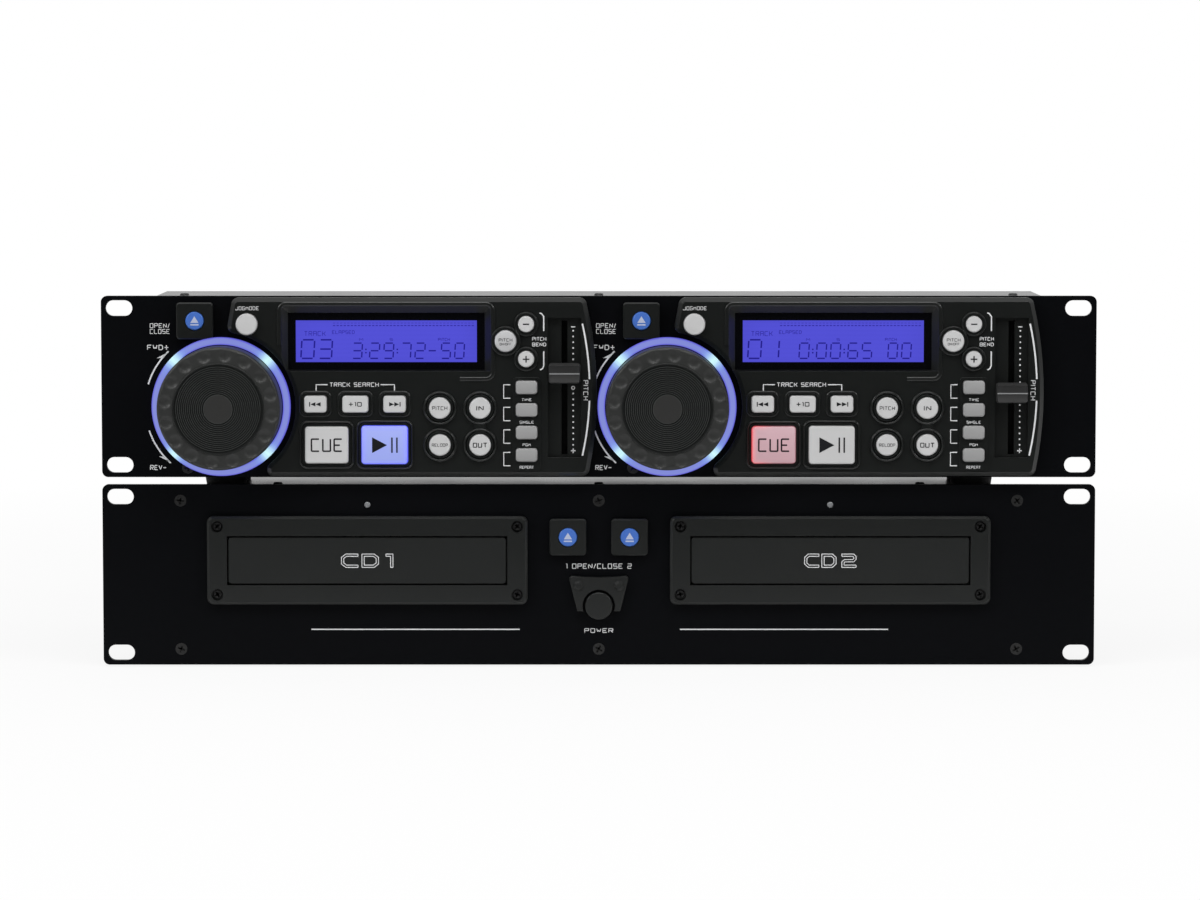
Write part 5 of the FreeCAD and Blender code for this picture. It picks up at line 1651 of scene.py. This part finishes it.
@dataclass
class Rims:
    """The rounded rims round the keys and the display, swept along rounded paths."""

    side: Side
    crest: float = 0.32
    key_corner: float = 1.2
    flange: float = 0.8
    fascia_rise: float = 7.0

    # the margin round the cap, half the bead's width and the height of its base, for round and for square keys
    ROUND: ClassVar = {"pitch": (2.25, 0.7, 1.2), "reloop": (2.25, 0.7, 1.2), "loop_in": (2.25, 0.7, 1.2),
                       "loop_out": (2.25, 0.7, 1.2), "pitch_on": (1.5, 0.5, 1.2), "bend_minus": (1.5, 0.5, 1.2),
                       "bend_plus": (1.5, 0.5, 1.2)}
    SQUARE: ClassVar = {"track_back": (1.7, 0.6, 0.5), "plus_ten": (1.7, 0.6, 0.5), "track_forward": (1.7, 0.6, 0.5),
                        "cue": (2.1, 0.6, 0.8), "play": (2.1, 0.6, 0.8)}
    # round the left display, open where the jog wheel's ring is and at the foot
    DISPLAY_RIM: ClassVar = ((-154.4, 64.5), (-154.4, 84.5), (-51.2, 84.5), (-51.2, 48.2), (-67.2, 48.2))

    def one(self, rim: Rim) -> bpy.types.Mesh:
        """The mesh of one rim.

        Args:
            rim: its path and sizes.

        Returns:
            The mesh, its faces outwards.
        """
        path = polyline("rim", [(rim.path, self.fascia_rise - PANEL_FACE, rim.closed)])
        mesh = RAISED_RIM.mesh("rim", path, Corner=rim.corner * MM, Bead_Width=rim.bead * MM,
                               Bead_Height=(rim.base + self.crest) * MM, Finish=FASCIA.material())
        mesh.transform(Matrix.Rotation(math.pi / 2, 4, "X"))
        shape = bmesh.new()
        shape.from_mesh(mesh)
        bmesh.ops.remove_doubles(shape, verts=shape.verts, dist=1e-6)
        bmesh.ops.recalc_face_normals(shape, faces=shape.faces)
        shape.to_mesh(mesh)
        shape.free()
        return mesh

    def places(self) -> list[Rim]:
        """Where the rims stand on this deck.

        Returns:
            The rims.
        """
        number = self.side.value
        rims = []
        for base, (margin, bead, rise) in (self.ROUND | self.SQUARE).items():
            x, _, z = middle(f"{base}_{number}")
            low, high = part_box(f"{base}_{number}")
            reach = [(high[k] - low[k]) / MM / 2 - self.flange + margin for k in (0, 2)]
            if base in self.ROUND:
                rims.append(Rim.around(x, z, reach[0], reach[0], reach[0] - 0.01, bead, rise))
            else:
                rims.append(Rim.around(x, z, *reach, self.key_corner + margin, bead, rise))
        shift = middle(f"jog_wheel_{number}")[0] - middle("jog_wheel_1")[0]
        around = [(x + shift, z + DECK_FOOT) for x, z in self.DISPLAY_RIM]
        rims.append(Rim(around, 3.4, 1.1, 0.4, False))
        return rims

    def build(self) -> None:
        """Sweeps every rim of the deck and joins them."""
        parts = [(self.one(rim), 0) for rim in self.places()]
        finished(f"key_rims_{self.side.value}", joined("key_rims", parts), STACK, [FASCIA])


@dataclass
class Display:
    """The window of a deck: a black pane with a lit field and dark digits."""

    side: Side
    width: float = 87.6
    height: float = 20.2
    pane: float = 95.1
    inset: float = 0.05
    light_film: float = 0.01
    ink_film: float = 0.02
    border: float = 0.2
    bar_count: int = 40
    bar_start: float = 18.0
    bar_pitch: float = 1.72
    bar_length: float = 1.1

    # track, minutes, colon, seconds, colon, frames and pitch
    SHOWN: ClassVar = {Side.LEFT: ("03", "3", ":", "29", ":", "72", "-50"),
                       Side.RIGHT: ("01", "0", ":", "00", ":", "65", " 00")}
    # X, rise, width, height, pitch and stroke of each
    DIGIT_PLACES: ClassVar = (
        (2.4, 1.8, 6.2, 9.0, 8.6, 0.75), (27.2, 1.8, 4.6, 7.4, 7.0, 0.65), (34.2, 3.0, 3.0, 4.0, 4.0, 0.7),
        (35.6, 1.8, 4.6, 7.4, 6.8, 0.65), (49.4, 3.0, 3.0, 4.0, 4.0, 0.7), (50.8, 1.8, 4.6, 7.4, 6.8, 0.65),
        (63.6, 1.8, 4.4, 7.4, 6.6, 0.65))
    # text, sides, foot and top, and stroke
    CAPTIONS: ClassVar = (
        ("TRACK", 4.0, 14.5, 12.6, 15.0, 0.32), ("ELAPSED", 17.5, 28.5, 13.6, 15.4, 0.28),
        ("M", 30.6, 32.6, 10.2, 11.6, 0.25), ("S", 45.4, 47.0, 10.2, 11.6, 0.25),
        ("PITCH", 68.8, 74.6, 10.2, 11.7, 0.28))

    def build(self) -> None:
        """Builds the pane, its lit field and its digits."""
        low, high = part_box("display_windows")
        half = self.pane / 2
        centre = (low[0] / MM + half) if self.side is Side.LEFT else (high[0] / MM - half)
        foot, top = low[2] / MM, high[2] / MM
        face, back = low[1] / MM + self.inset, high[1] / MM
        name = f"display_{self.side.value}"
        body = slab(name, [(centre - half, foot), (centre + half, foot), (centre + half, top), (centre - half, top)],
                    face + self.light_film, back)
        middle_z = (foot + top) / 2
        field_mesh = self.field(centre, middle_z, face)
        digits, captions = (Ink(Level(face), ink, self.ink_film) for ink in (SEGMENT_INK, GHOST_INK))
        self.readout(digits, captions, centre - self.width / 2, middle_z - self.height / 2)
        whole = joined(name, [(body, 0), (field_mesh, 1), (digits.mesh("digits"), 2), (captions.mesh("captions"), 3)])
        finished(name + "_dressed", whole, STACK,
                 [WINDOW_BLACK, SCREEN_LIGHT, SEGMENT_INK, GHOST_INK],
                 ["display_windows"] if self.side is Side.LEFT else [])

    def field(self, x: float, z: float, face: float) -> bpy.types.Mesh:
        """The lit field, as a grid that knows how near its border each point is.

        Args:
            x: X of its middle.
            z: Z of its middle.
            face: its Y.

        Returns:
            The mesh.
        """
        made = bmesh.new()
        bmesh.ops.create_grid(made, x_segments=24, y_segments=8, size=0.5)
        for vertex in made.verts:
            vertex.co = ((x + vertex.co.x * self.width) * MM, face * MM, (z + vertex.co.y * self.height) * MM)
        mesh = meshed("field", made)
        rim = mesh.attributes.new("rim", "FLOAT", "POINT")
        for k, vertex in enumerate(mesh.vertices):
            off_x = abs(vertex.co.x / MM - x) / self.width * 2
            off_z = abs(vertex.co.z / MM - z) / self.height * 2
            rim.data[k].value = max(0.0, max(off_x, off_z) - (1.0 - self.border)) / self.border
        return mesh

    def readout(self, digits: Ink, captions: Ink, left: float, foot: float) -> None:
        """Track, time and pitch.

        Args:
            digits: the dark segments.
            captions: the paler captions.
            left: X of the field's left side.
            foot: Z of its foot.
        """
        for text, (x, rise, width, height, pitch, stroke) in zip(self.SHOWN[self.side], self.DIGIT_PLACES):
            digits.digits(text, left + x, foot + rise, width, height, pitch, stroke)
        for text, start, end, low, high, stroke in self.CAPTIONS:
            captions.word(text, left + start, left + end, foot + low, foot + high, stroke)
        for k in range(self.bar_count):
            x = left + self.bar_start + k * self.bar_pitch
            for level, stroke in ((17.7, 0.5), (18.9, 0.22)):
                captions.line([(x, foot + level), (x + self.bar_length, foot + level)], stroke)


# the left jog wheel's axis as the prints' places are written: X, and Z over the control unit's foot
LEFT_AXIS = (-183.2, 34.4)


@dataclass
class DeckPrint:
    """The print of one deck, its places given on the left deck."""

    ink: Ink
    shift: float
    foot: float = DECK_FOOT

    def moved(self, points: Sequence[Point]) -> list[Point]:
        """Points moved to this deck."""
        return [(x + self.shift, z + self.foot) for x, z in points]

    def word(self, text: str, left: float, right: float, low: float, high: float, stroke: float,
             down: bool = False) -> None:
        """Writes a word, as Ink.word does."""
        self.ink.word(text, left + self.shift, right + self.shift, low + self.foot, high + self.foot, stroke, down)

    def line(self, points: Sequence[Point], stroke: float) -> None:
        """Draws a line."""
        self.ink.line(self.moved(points), stroke)

    def arrow(self, centre: Point, radius: float, start: float, end: float, way: int) -> None:
        """Draws a curved arrow that widens towards its barbed tip.

        Args:
            centre: the middle of its arc.
            radius: its radius.
            start: the angle of its tail, in degrees.
            end: the angle of its tip.
            way: 1 where the barb is on the outside of a clockwise arrow, -1 for the other way.
        """
        body = arc(centre, radius + 0.27, start, end, 18)
        head = [arc(centre, radius + out, end + way * back, end, 1)[0]
                for out, back in ((0.0, 0.0), (2.3, 9.5), (0.5, 7.0))]
        self.ink.line(self.moved(body), 0.75)
        self.ink.fill(self.moved(head if way > 0 else head[::-1]))

    def scale(self, x: float, top: float, first: float, pitch: float, count: int, low: float) -> None:
        """The fader's scale: a minus, a row of dots round a ring, and a plus.

        Args:
            x: X of the row.
            top: Z of the minus.
            first: Z of the first dot.
            pitch: from dot to dot.
            count: how many there are.
            low: Z of the plus.
        """
        self.line([(x - 1.0, top), (x + 1.0, top)], 0.5)
        self.line([(x - 1.1, low), (x + 1.1, low)], 0.5)
        self.line([(x, low - 1.1), (x, low + 1.1)], 0.5)
        for rank in range(count):
            z = first - rank * pitch
            if rank == count // 2:
                self.line(arc((x, z), 0.75, 0, 360, 12), 0.4)
            else:
                dot = arc((x, z), 0.42, 0, 315, 7)
                self.ink.fill(self.moved(dot))

    def finish(self, name: str, slot: str) -> None:
        """Makes the print a piece."""
        finished(name, self.ink.mesh(name), STACK, [self.ink.finish])


@dataclass
class Deck:
    """One control deck: light ring, jog wheel, display, keys, fader and print."""

    side: Side
    ring_inner: float = 30.1
    ring_outer: float = 33.7
    ring_rise: float = 2.4
    ring_edge: float = 0.8
    arrow_radius: float = 36.7
    pointer_margin: float = 0.4
    pointer_stroke: float = 0.55
    cue: Finish = KEY_GREY
    play: Finish = KEY_GREY
    pitch_on: Finish = KEY_GREY

    def name(self, base: str) -> str:
        """The node's name on this deck."""
        return f"{base}_{self.side.value}"

    def axis(self) -> Point:
        """X and Z of the jog wheel's axis."""
        x, _, z = middle(self.name("jog_wheel"))
        return x, z

    def build(self) -> None:
        """Builds the deck's pieces in order."""
        self.ring()
        JogWheel(self.side).build()
        Rims(self.side).build()
        Display(self.side).build()
        self.keys()
        self.fader()
        self.print_front()

    def ring(self) -> None:
        """The light ring, rounded at its front edges."""
        x, z = self.axis()
        face = PANEL_FACE - self.ring_rise
        edge = self.ring_edge
        corner = [(self.ring_outer - edge + edge * math.sin(t), face + edge - edge * math.cos(t))
                  for t in map(math.radians, (0, 22, 45, 68, 90))]
        profile = [(self.ring_inner, PANEL_FACE + 2.0), (self.ring_inner, face + 0.3), (self.ring_inner + 0.3, face),
                   *corner, (self.ring_outer, PANEL_FACE + 2.0), (self.ring_inner, PANEL_FACE + 2.0)]
        mesh = smooth(turned("ring", (x, z), profile, 160), 60)
        glow = RingGlow(self.name("ring_glow"), (0.02, 0.02, 0.05), 0.35, specular=0.3, axis=(x, z),
                        light=linear(128, 137, 212))
        finished(self.name("light_ring"), mesh, STACK, [glow],
                 ["lit_lenses"] if self.side is Side.LEFT else [])

    def keys(self) -> None:
        """Every key of the deck."""
        for base in ("time", "single", "program", "repeat"):
            Key(self.name(base), KEY_LIST).build()
        Key(self.name("jog_mode")).build()
        Key(self.name("open_close"), BUTTON_BLUE, "button_blue", eject_mark).build()
        lit = {"cue": self.cue, "play": self.play, "pitch_on": self.pitch_on}
        for base, legend in KEY_LEGENDS.items():
            Key(self.name(base), lit.get(base, KEY_GREY), legend=legend).build()

    def fader(self) -> None:
        """The fader's cap with its pointer line."""
        node = self.name("pitch_fader")
        mesh = Refined(node).mesh()
        low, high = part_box(node)
        x, _, z = middle(node)
        ink = Ink(Relief(node), GREY_INK)
        ink.line([(low[0] / MM + self.pointer_margin, z), (high[0] / MM - self.pointer_margin, z)],
                 self.pointer_stroke, depth=ink.face.at(x, z))
        whole = joined(node, [(mesh, 0), (ink.mesh("pointer"), 1)])
        moving(node, whole, [FADER_BLACK, GREY_INK])

    def print_front(self) -> None:
        """The print on the flat panel and on the raised fascia."""
        panel = DeckPrint(Ink(Level(PANEL_FACE)), self.axis()[0] - LEFT_AXIS[0])
        for word in (("OPEN/", -217.6, -208.0, 72.5, 74.8, 0.27), ("CLOSE", -217.6, -208.0, 69.7, 72.0, 0.27),
                     ("FWD+", -219.0, -208.5, 61.8, 64.4, 0.4), ("REV-", -218.0, -210.0, 3.4, 5.9, 0.4)):
            panel.word(*word)
        panel.arrow(LEFT_AXIS, self.arrow_radius, 163.0, 133.5, 1)
        panel.arrow(LEFT_AXIS, self.arrow_radius, 198.5, 228.0, -1)
        panel.finish(self.name("panel_print"), "panel_black")

        raised = DeckPrint(Ink(Relief("deck_fascias")), self.axis()[0] - LEFT_AXIS[0])
        for word in (("JOGMODE", -175.6, -164.2, 81.5, 83.3, 0.21), ("TRACK SEARCH", -130.2, -106.4, 44.4, 46.5, 0.29),
                     ("PITCH", -32.2, -25.4, 66.7, 68.5, 0.29), ("BEND", -32.2, -25.4, 64.0, 65.8, 0.29)):
            raised.word(*word)
        for path, stroke in (([(-136.7, 42.5), (-136.7, 45.45), (-131.2, 45.45)], 0.5),
                             ([(-105.5, 45.45), (-98.8, 45.45), (-98.8, 42.5)], 0.5),
                             ([(-28.6, 80.2), (-27.6, 79.8), (-26.6, 78.4), (-26.6, 71.4)], 0.6),
                             ([(-26.6, 61.6), (-26.6, 54.6), (-27.2, 53.2), (-28.4, 52.6)], 0.6)):
            raised.line(path, stroke)
        for rank, label in enumerate(("TIME", "SINGLE", "PGM", "REPEAT")):
            level = 44.2 - rank * 10.93
            half = 0.5 * len(label) + 0.45
            raised.word(label, -34.9 - half, -34.9 + half, level - 6.0 - 0.7, level - 6.0 + 0.7, 0.22)
            raised.line([(-42.8, level + 1.2), (-46.0, level + 1.2), (-46.0, level - 5.3), (-42.8, level - 5.3)], 0.5)
        raised.word("PITCH", -7.5, -5.1, 37.9, 47.6, 0.3, down=True)
        for start, end in ((12.6, 2.0), (-2.1, -12.6)):
            raised.line(arc((-151.0, 43.0), 146.6, start, end, 12), 0.8)
        raised.scale(-12.4, 73.3, 71.4, 2.765, 21, 13.2)
        raised.finish(self.name("fascia_print"), "moulding_charcoal")


# the corners of the hollow letters on a grid of four by four, the widths that aren't four, and the gap
HOLLOW_GLYPHS = {
    "C": [[(4, 4), (1, 4), (0, 3), (0, 1), (1, 0), (4, 0)]],
    "D": [[(0, 0), (0, 4), (3, 4), (4, 3), (4, 1), (3, 0), (0, 0)]],
    "1": [[(0.1, 4), (1.4, 4), (1.4, 0)]],
    "2": [[(0, 4), (3.4, 4), (4, 3.4), (4, 2.6), (3.4, 2), (0.6, 2), (0, 1.4), (0, 0), (4, 0)]],
}
HOLLOW_WIDTHS = {" ": -0.85, "1": 1.4}
HOLLOW_GAP = 1.76


def hollow_word(ink: Ink, text: str, left: float, right: float, foot: float, top: float, stroke: float,
                line: float) -> None:
    """Writes a word in hollow letters, each stroke drawn by its outline.

    Args:
        ink: the print.
        text: the word.
        left: X of its left side.
        right: X of its right side.
        foot: Z of its base line.
        top: Z of its top line.
        stroke: the width of the hollow strokes.
        line: the width of their outline.
    """
    widths = [HOLLOW_WIDTHS.get(letter, 4.0) for letter in text]
    unit = (right - left - stroke) / (sum(widths) + HOLLOW_GAP * (len(text) - 1))
    rise = (top - foot - stroke) / 4
    cursor = 0.0
    reach = (stroke - line) / 2
    for letter, width in zip(text, widths):
        for path in HOLLOW_GLYPHS.get(letter, []):
            points = [Vector((left + stroke / 2 + (cursor + u) * unit, foot + stroke / 2 + v * rise))
                      for u, v in path]
            closed = path[0] == path[-1]
            for side in ((1, -1) if closed else (1,)):
                rim = beside(points, reach * side, closed)
                if not closed:
                    rim += beside(points[::-1], reach, False)
                ink.line([(p.x, p.y) for p in rim], line, True, 0.15)
        cursor += width + HOLLOW_GAP


def beside(points: Sequence[Vector], reach: float, closed: bool) -> list[Vector]:
    """A path's parallel at its left, mitred at each corner.

    Args:
        points: its corners; a closed path ends on its first.
        reach: how far away the parallel runs.
        closed: whether the path is closed.

    Returns:
        The corners of the parallel.
    """
    corners = list(points[:-1]) if closed else list(points)
    rim = []
    for k, point in enumerate(corners):
        before = corners[k - 1] if (closed or k > 0) else None
        after = corners[(k + 1) % len(corners)] if (closed or k + 1 < len(corners)) else None
        ways = [(point - before).normalized()] if before is not None else []
        ways += [(after - point).normalized()] if after is not None else []
        sides = [Vector((-way.y, way.x)) for way in ways]
        if len(sides) == 1:
            end = ways[0] * (reach if before is not None else -reach)
            rim.append(point + sides[0] * reach + end)
        else:
            mitre = (sides[0] + sides[1]).normalized()
            rim.append(point + mitre * (reach / max(0.3, mitre.dot(sides[0]))))
    return rim


@dataclass
class DriveFront:
    """The front of the drive unit: trays, lamps, eject and power buttons, print."""

    lamp_height: float = 78.2
    lamp_radius: float = 1.5
    lamp_rise: float = 1.0
    door_word: tuple[float, float, float] = (12.7, 47.8, 54.7)
    word_stroke: float = 1.5
    word_line: float = 0.38
    door_thick: float = 10.0

    def lamps(self) -> None:
        """The two tray lamps, domed lenses."""
        parts = []
        for node in ("disc_tray_1", "disc_tray_2"):
            x = middle(node)[0]
            face = PANEL_FACE - self.lamp_rise
            dome = [(self.lamp_radius * math.sin(math.radians(a)),
                     face + self.lamp_rise * 0.8 * (1 - math.cos(math.radians(a)))) for a in (0, 20, 40, 60, 78, 90)]
            profile = [*dome, (self.lamp_radius, PANEL_FACE + 2.0), (0.0, PANEL_FACE + 2.0)]
            parts.append((turned("lamp", (x, DRIVE_FOOT + self.lamp_height), profile, 40), 0))
        finished("tray_lamps", smooth(joined("lamps", parts), 40), STACK, [LAMP_GREY])

    def tray(self, node: str, text: str) -> None:
        """One disc tray with the print on its door.

        Args:
            node: the CAD node.
            text: the print.
        """
        x = middle(node)[0]
        half, low, high = self.door_word
        mesh = Refined(node).mesh()
        by_island(mesh, lambda centre, size: 0 if size.y < self.door_thick else 1)
        ink = Ink(Level(front(node)))
        hollow_word(ink, text, x - half, x + half, DRIVE_FOOT + low, DRIVE_FOOT + high, self.word_stroke,
                    self.word_line)
        whole = joined(node, [(mesh, -1), (ink.mesh("door_print"), 2)])
        moving(node, whole, [DOOR_CHARCOAL, TRAY_BLACK, WHITE_INK])

    def build(self) -> None:
        """Builds its pieces."""
        for number in (1, 2):
            self.tray(f"disc_tray_{number}", f"CD {number}")
        self.lamps()
        for number in (1, 2):
            Key(f"eject_button_{number}", BUTTON_BLUE, "button_blue", eject_mark).build()
        Key("power_button", CHARCOAL, "power_black").build()
        panel = Ink(Level(PANEL_FACE))
        foot = DRIVE_FOOT
        panel.word("1 OPEN/CLOSE 2", -16.0, 16.0, foot + 47.0, foot + 49.5, 0.31)
        panel.word("POWER", -7.0, 7.0, foot + 15.6, foot + 17.8, 0.33)
        for left, right in ((-140.0, -38.5), (39.5, 141.0)):
            panel.line([(left, foot + 17.3), (right, foot + 17.3)], 0.55)
        finished("drive_print", panel.mesh("drive_print"), STACK, [WHITE_INK])


# ----------------------------------------------------------------------- studio
@dataclass
class Studio:
    """Pale floor, soft lamps, white background and the camera.

    The camera's lengths are in millimetres and its tilt in degrees. Glossy surfaces see the floor dark in front
    of the object, from dark_from (Y in metres) on, and the world there at mirrored_front of white.
    """

    distance: float = 2200.0
    height: float = 275.0
    aside: float = 0.6
    focal_pixels: float = 4543.0
    picture_width: float = 1200.0
    sensor: float = 36.0
    pitch: float = 4.4
    floor_pale: Colour = (0.86, 0.86, 0.86)
    floor_dark: Colour = (0.02, 0.02, 0.02)
    dark_from: float = -0.2
    mirrored_front: float = 0.03

    # all in metres: the floor's corners, what the lamps aim at, and each lamp's X and Y, Z and size, and its watts
    FLOOR: ClassVar = ((-40, -10, 0), (40, -10, 0), (40, 120, 0), (-40, 120, 0))
    AIM: ClassVar = (0.0, -0.1, 0.09)
    LAMPS: ClassVar = (("top_lamp", (0.0, -1.2), 2.0, (2.2, 0.5), 22.0),
                       ("left_lamp", (-2.2, -1.5), 1.6, (0.5, 1.0), 20.0),
                       ("right_lamp", (2.2, -1.5), 1.6, (0.5, 1.0), 16.0))

    def build(self) -> None:
        """Sets up all of it."""
        self.floor()
        self.world()
        for lamp in self.LAMPS:
            self.lamp(*lamp)
        self.camera()

    def floor(self) -> None:
        """A pale floor that keeps the shadow, and that the glossy fronts see dark."""
        mesh = bpy.data.meshes.new("floor")
        mesh.from_pydata(self.FLOOR, [], [(0, 1, 2, 3)])
        floor = placed("floor", mesh)
        made = bpy.data.materials.new("floor")
        wiring = emptied(made)
        seen, glossy = wiring.outputs("ShaderNodeLightPath", ("Is Camera Ray", "Is Glossy Ray"))
        soft = wiring.node("ShaderNodeBsdfDiffuse", {}, {"Color": self.floor_pale})
        white = wiring.node("ShaderNodeEmission", {}, {"Color": (1.0, 1.0, 1.0), "Strength": 1.0})
        place = wiring.node("ShaderNodeTexCoord", output="Object")
        away = wiring.node("ShaderNodeVectorMath", {"operation": "LENGTH"}, {0: place}, "Value")
        share = seen * (0.86 + ((away - 0.3) * 0.2).held())
        both = wiring.node("ShaderNodeMixShader", {}, {0: share.held(), 1: soft, 2: white})
        ahead = ((self.dark_from - wiring.split(place)[1]) * 3.0).held()
        dark = wiring.node("ShaderNodeBsdfDiffuse", {}, {"Color": self.floor_dark})
        done = wiring.node("ShaderNodeMixShader", {}, {0: glossy * ahead, 1: both, 2: dark})
        wiring.node("ShaderNodeOutputMaterial", {}, {"Surface": done})
        mesh.materials.append(made)
        floor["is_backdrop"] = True

    def world(self) -> None:
        """White where it is seen, dimmer where it lights the front."""
        world = bpy.data.worlds.new("studio")
        bpy.context.scene.world = world
        wiring = emptied(world)
        seen, passed, glossy = wiring.outputs(
            "ShaderNodeLightPath", ("Is Camera Ray", "Is Transmission Ray", "Is Glossy Ray"))
        _, depth, up = wiring.split(wiring.node("ShaderNodeTexCoord", output="Generated"))
        behind = (depth * 1.6 + 0.2 + up * 0.5).held()
        mirrored = behind * (1.0 - self.mirrored_front) + self.mirrored_front
        soft = (up * 0.5 + 0.5) * 0.36 + 0.12
        level = glossy * mirrored + (1.0 - glossy) * soft
        level = level.maths("MAXIMUM", seen.maths("MAXIMUM", passed))
        sky = wiring.node("ShaderNodeBackground", {}, {"Color": (1.0, 1.0, 1.0), "Strength": level})
        wiring.node("ShaderNodeOutputWorld", {}, {"Surface": sky})

    def lamp(self, name: str, place: Point, height: float, size: Point, power: float) -> None:
        """A soft area lamp.

        Args:
            name: its name.
            place: X and Y in metres.
            height: Z in metres.
            size: its width and height in metres.
            power: its power in watts.
        """
        data = bpy.data.lights.new(name, "AREA")
        data.shape = "RECTANGLE"
        data.size, data.size_y = size
        data.energy = power
        lamp = placed(name, data)
        lamp.location = (*place, height)
        aim = Vector(self.AIM) - Vector(lamp.location)
        lamp.rotation_euler = aim.to_track_quat("-Z", "Y").to_euler()

    def camera(self) -> None:
        """The camera in front of the stack, looking slightly down."""
        data = bpy.data.cameras.new("camera")
        data.sensor_width = self.sensor
        data.lens = self.focal_pixels * self.sensor / self.picture_width
        data.clip_start, data.clip_end = 0.1, 60.0
        camera = placed("camera", data)
        camera.location = (self.aside * MM, (PANEL_FACE - self.distance) * MM, self.height * MM)
        camera.rotation_euler = (math.radians(90.0 - self.pitch), 0.0, 0.0)
        bpy.context.scene.camera = camera
        bpy.context.scene.view_settings.view_transform = "Standard"


def corners() -> list[list[float]]:
    """The whole object's box as plain lists."""
    return [[float(v) for v in corner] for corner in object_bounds()]


def main() -> None:
    """Builds the studio and every piece, in order."""
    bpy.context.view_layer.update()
    Studio().build()
    Frames().build()
    Screws().build()
    RearSockets().build()
    Deck(Side.LEFT, play=KEY_BLUE_LIT, pitch_on=KEY_WHITE).build()
    Deck(Side.RIGHT, cue=KEY_RED_LIT).build()
    DriveFront().build()


if __name__ == "__main__":
    main()
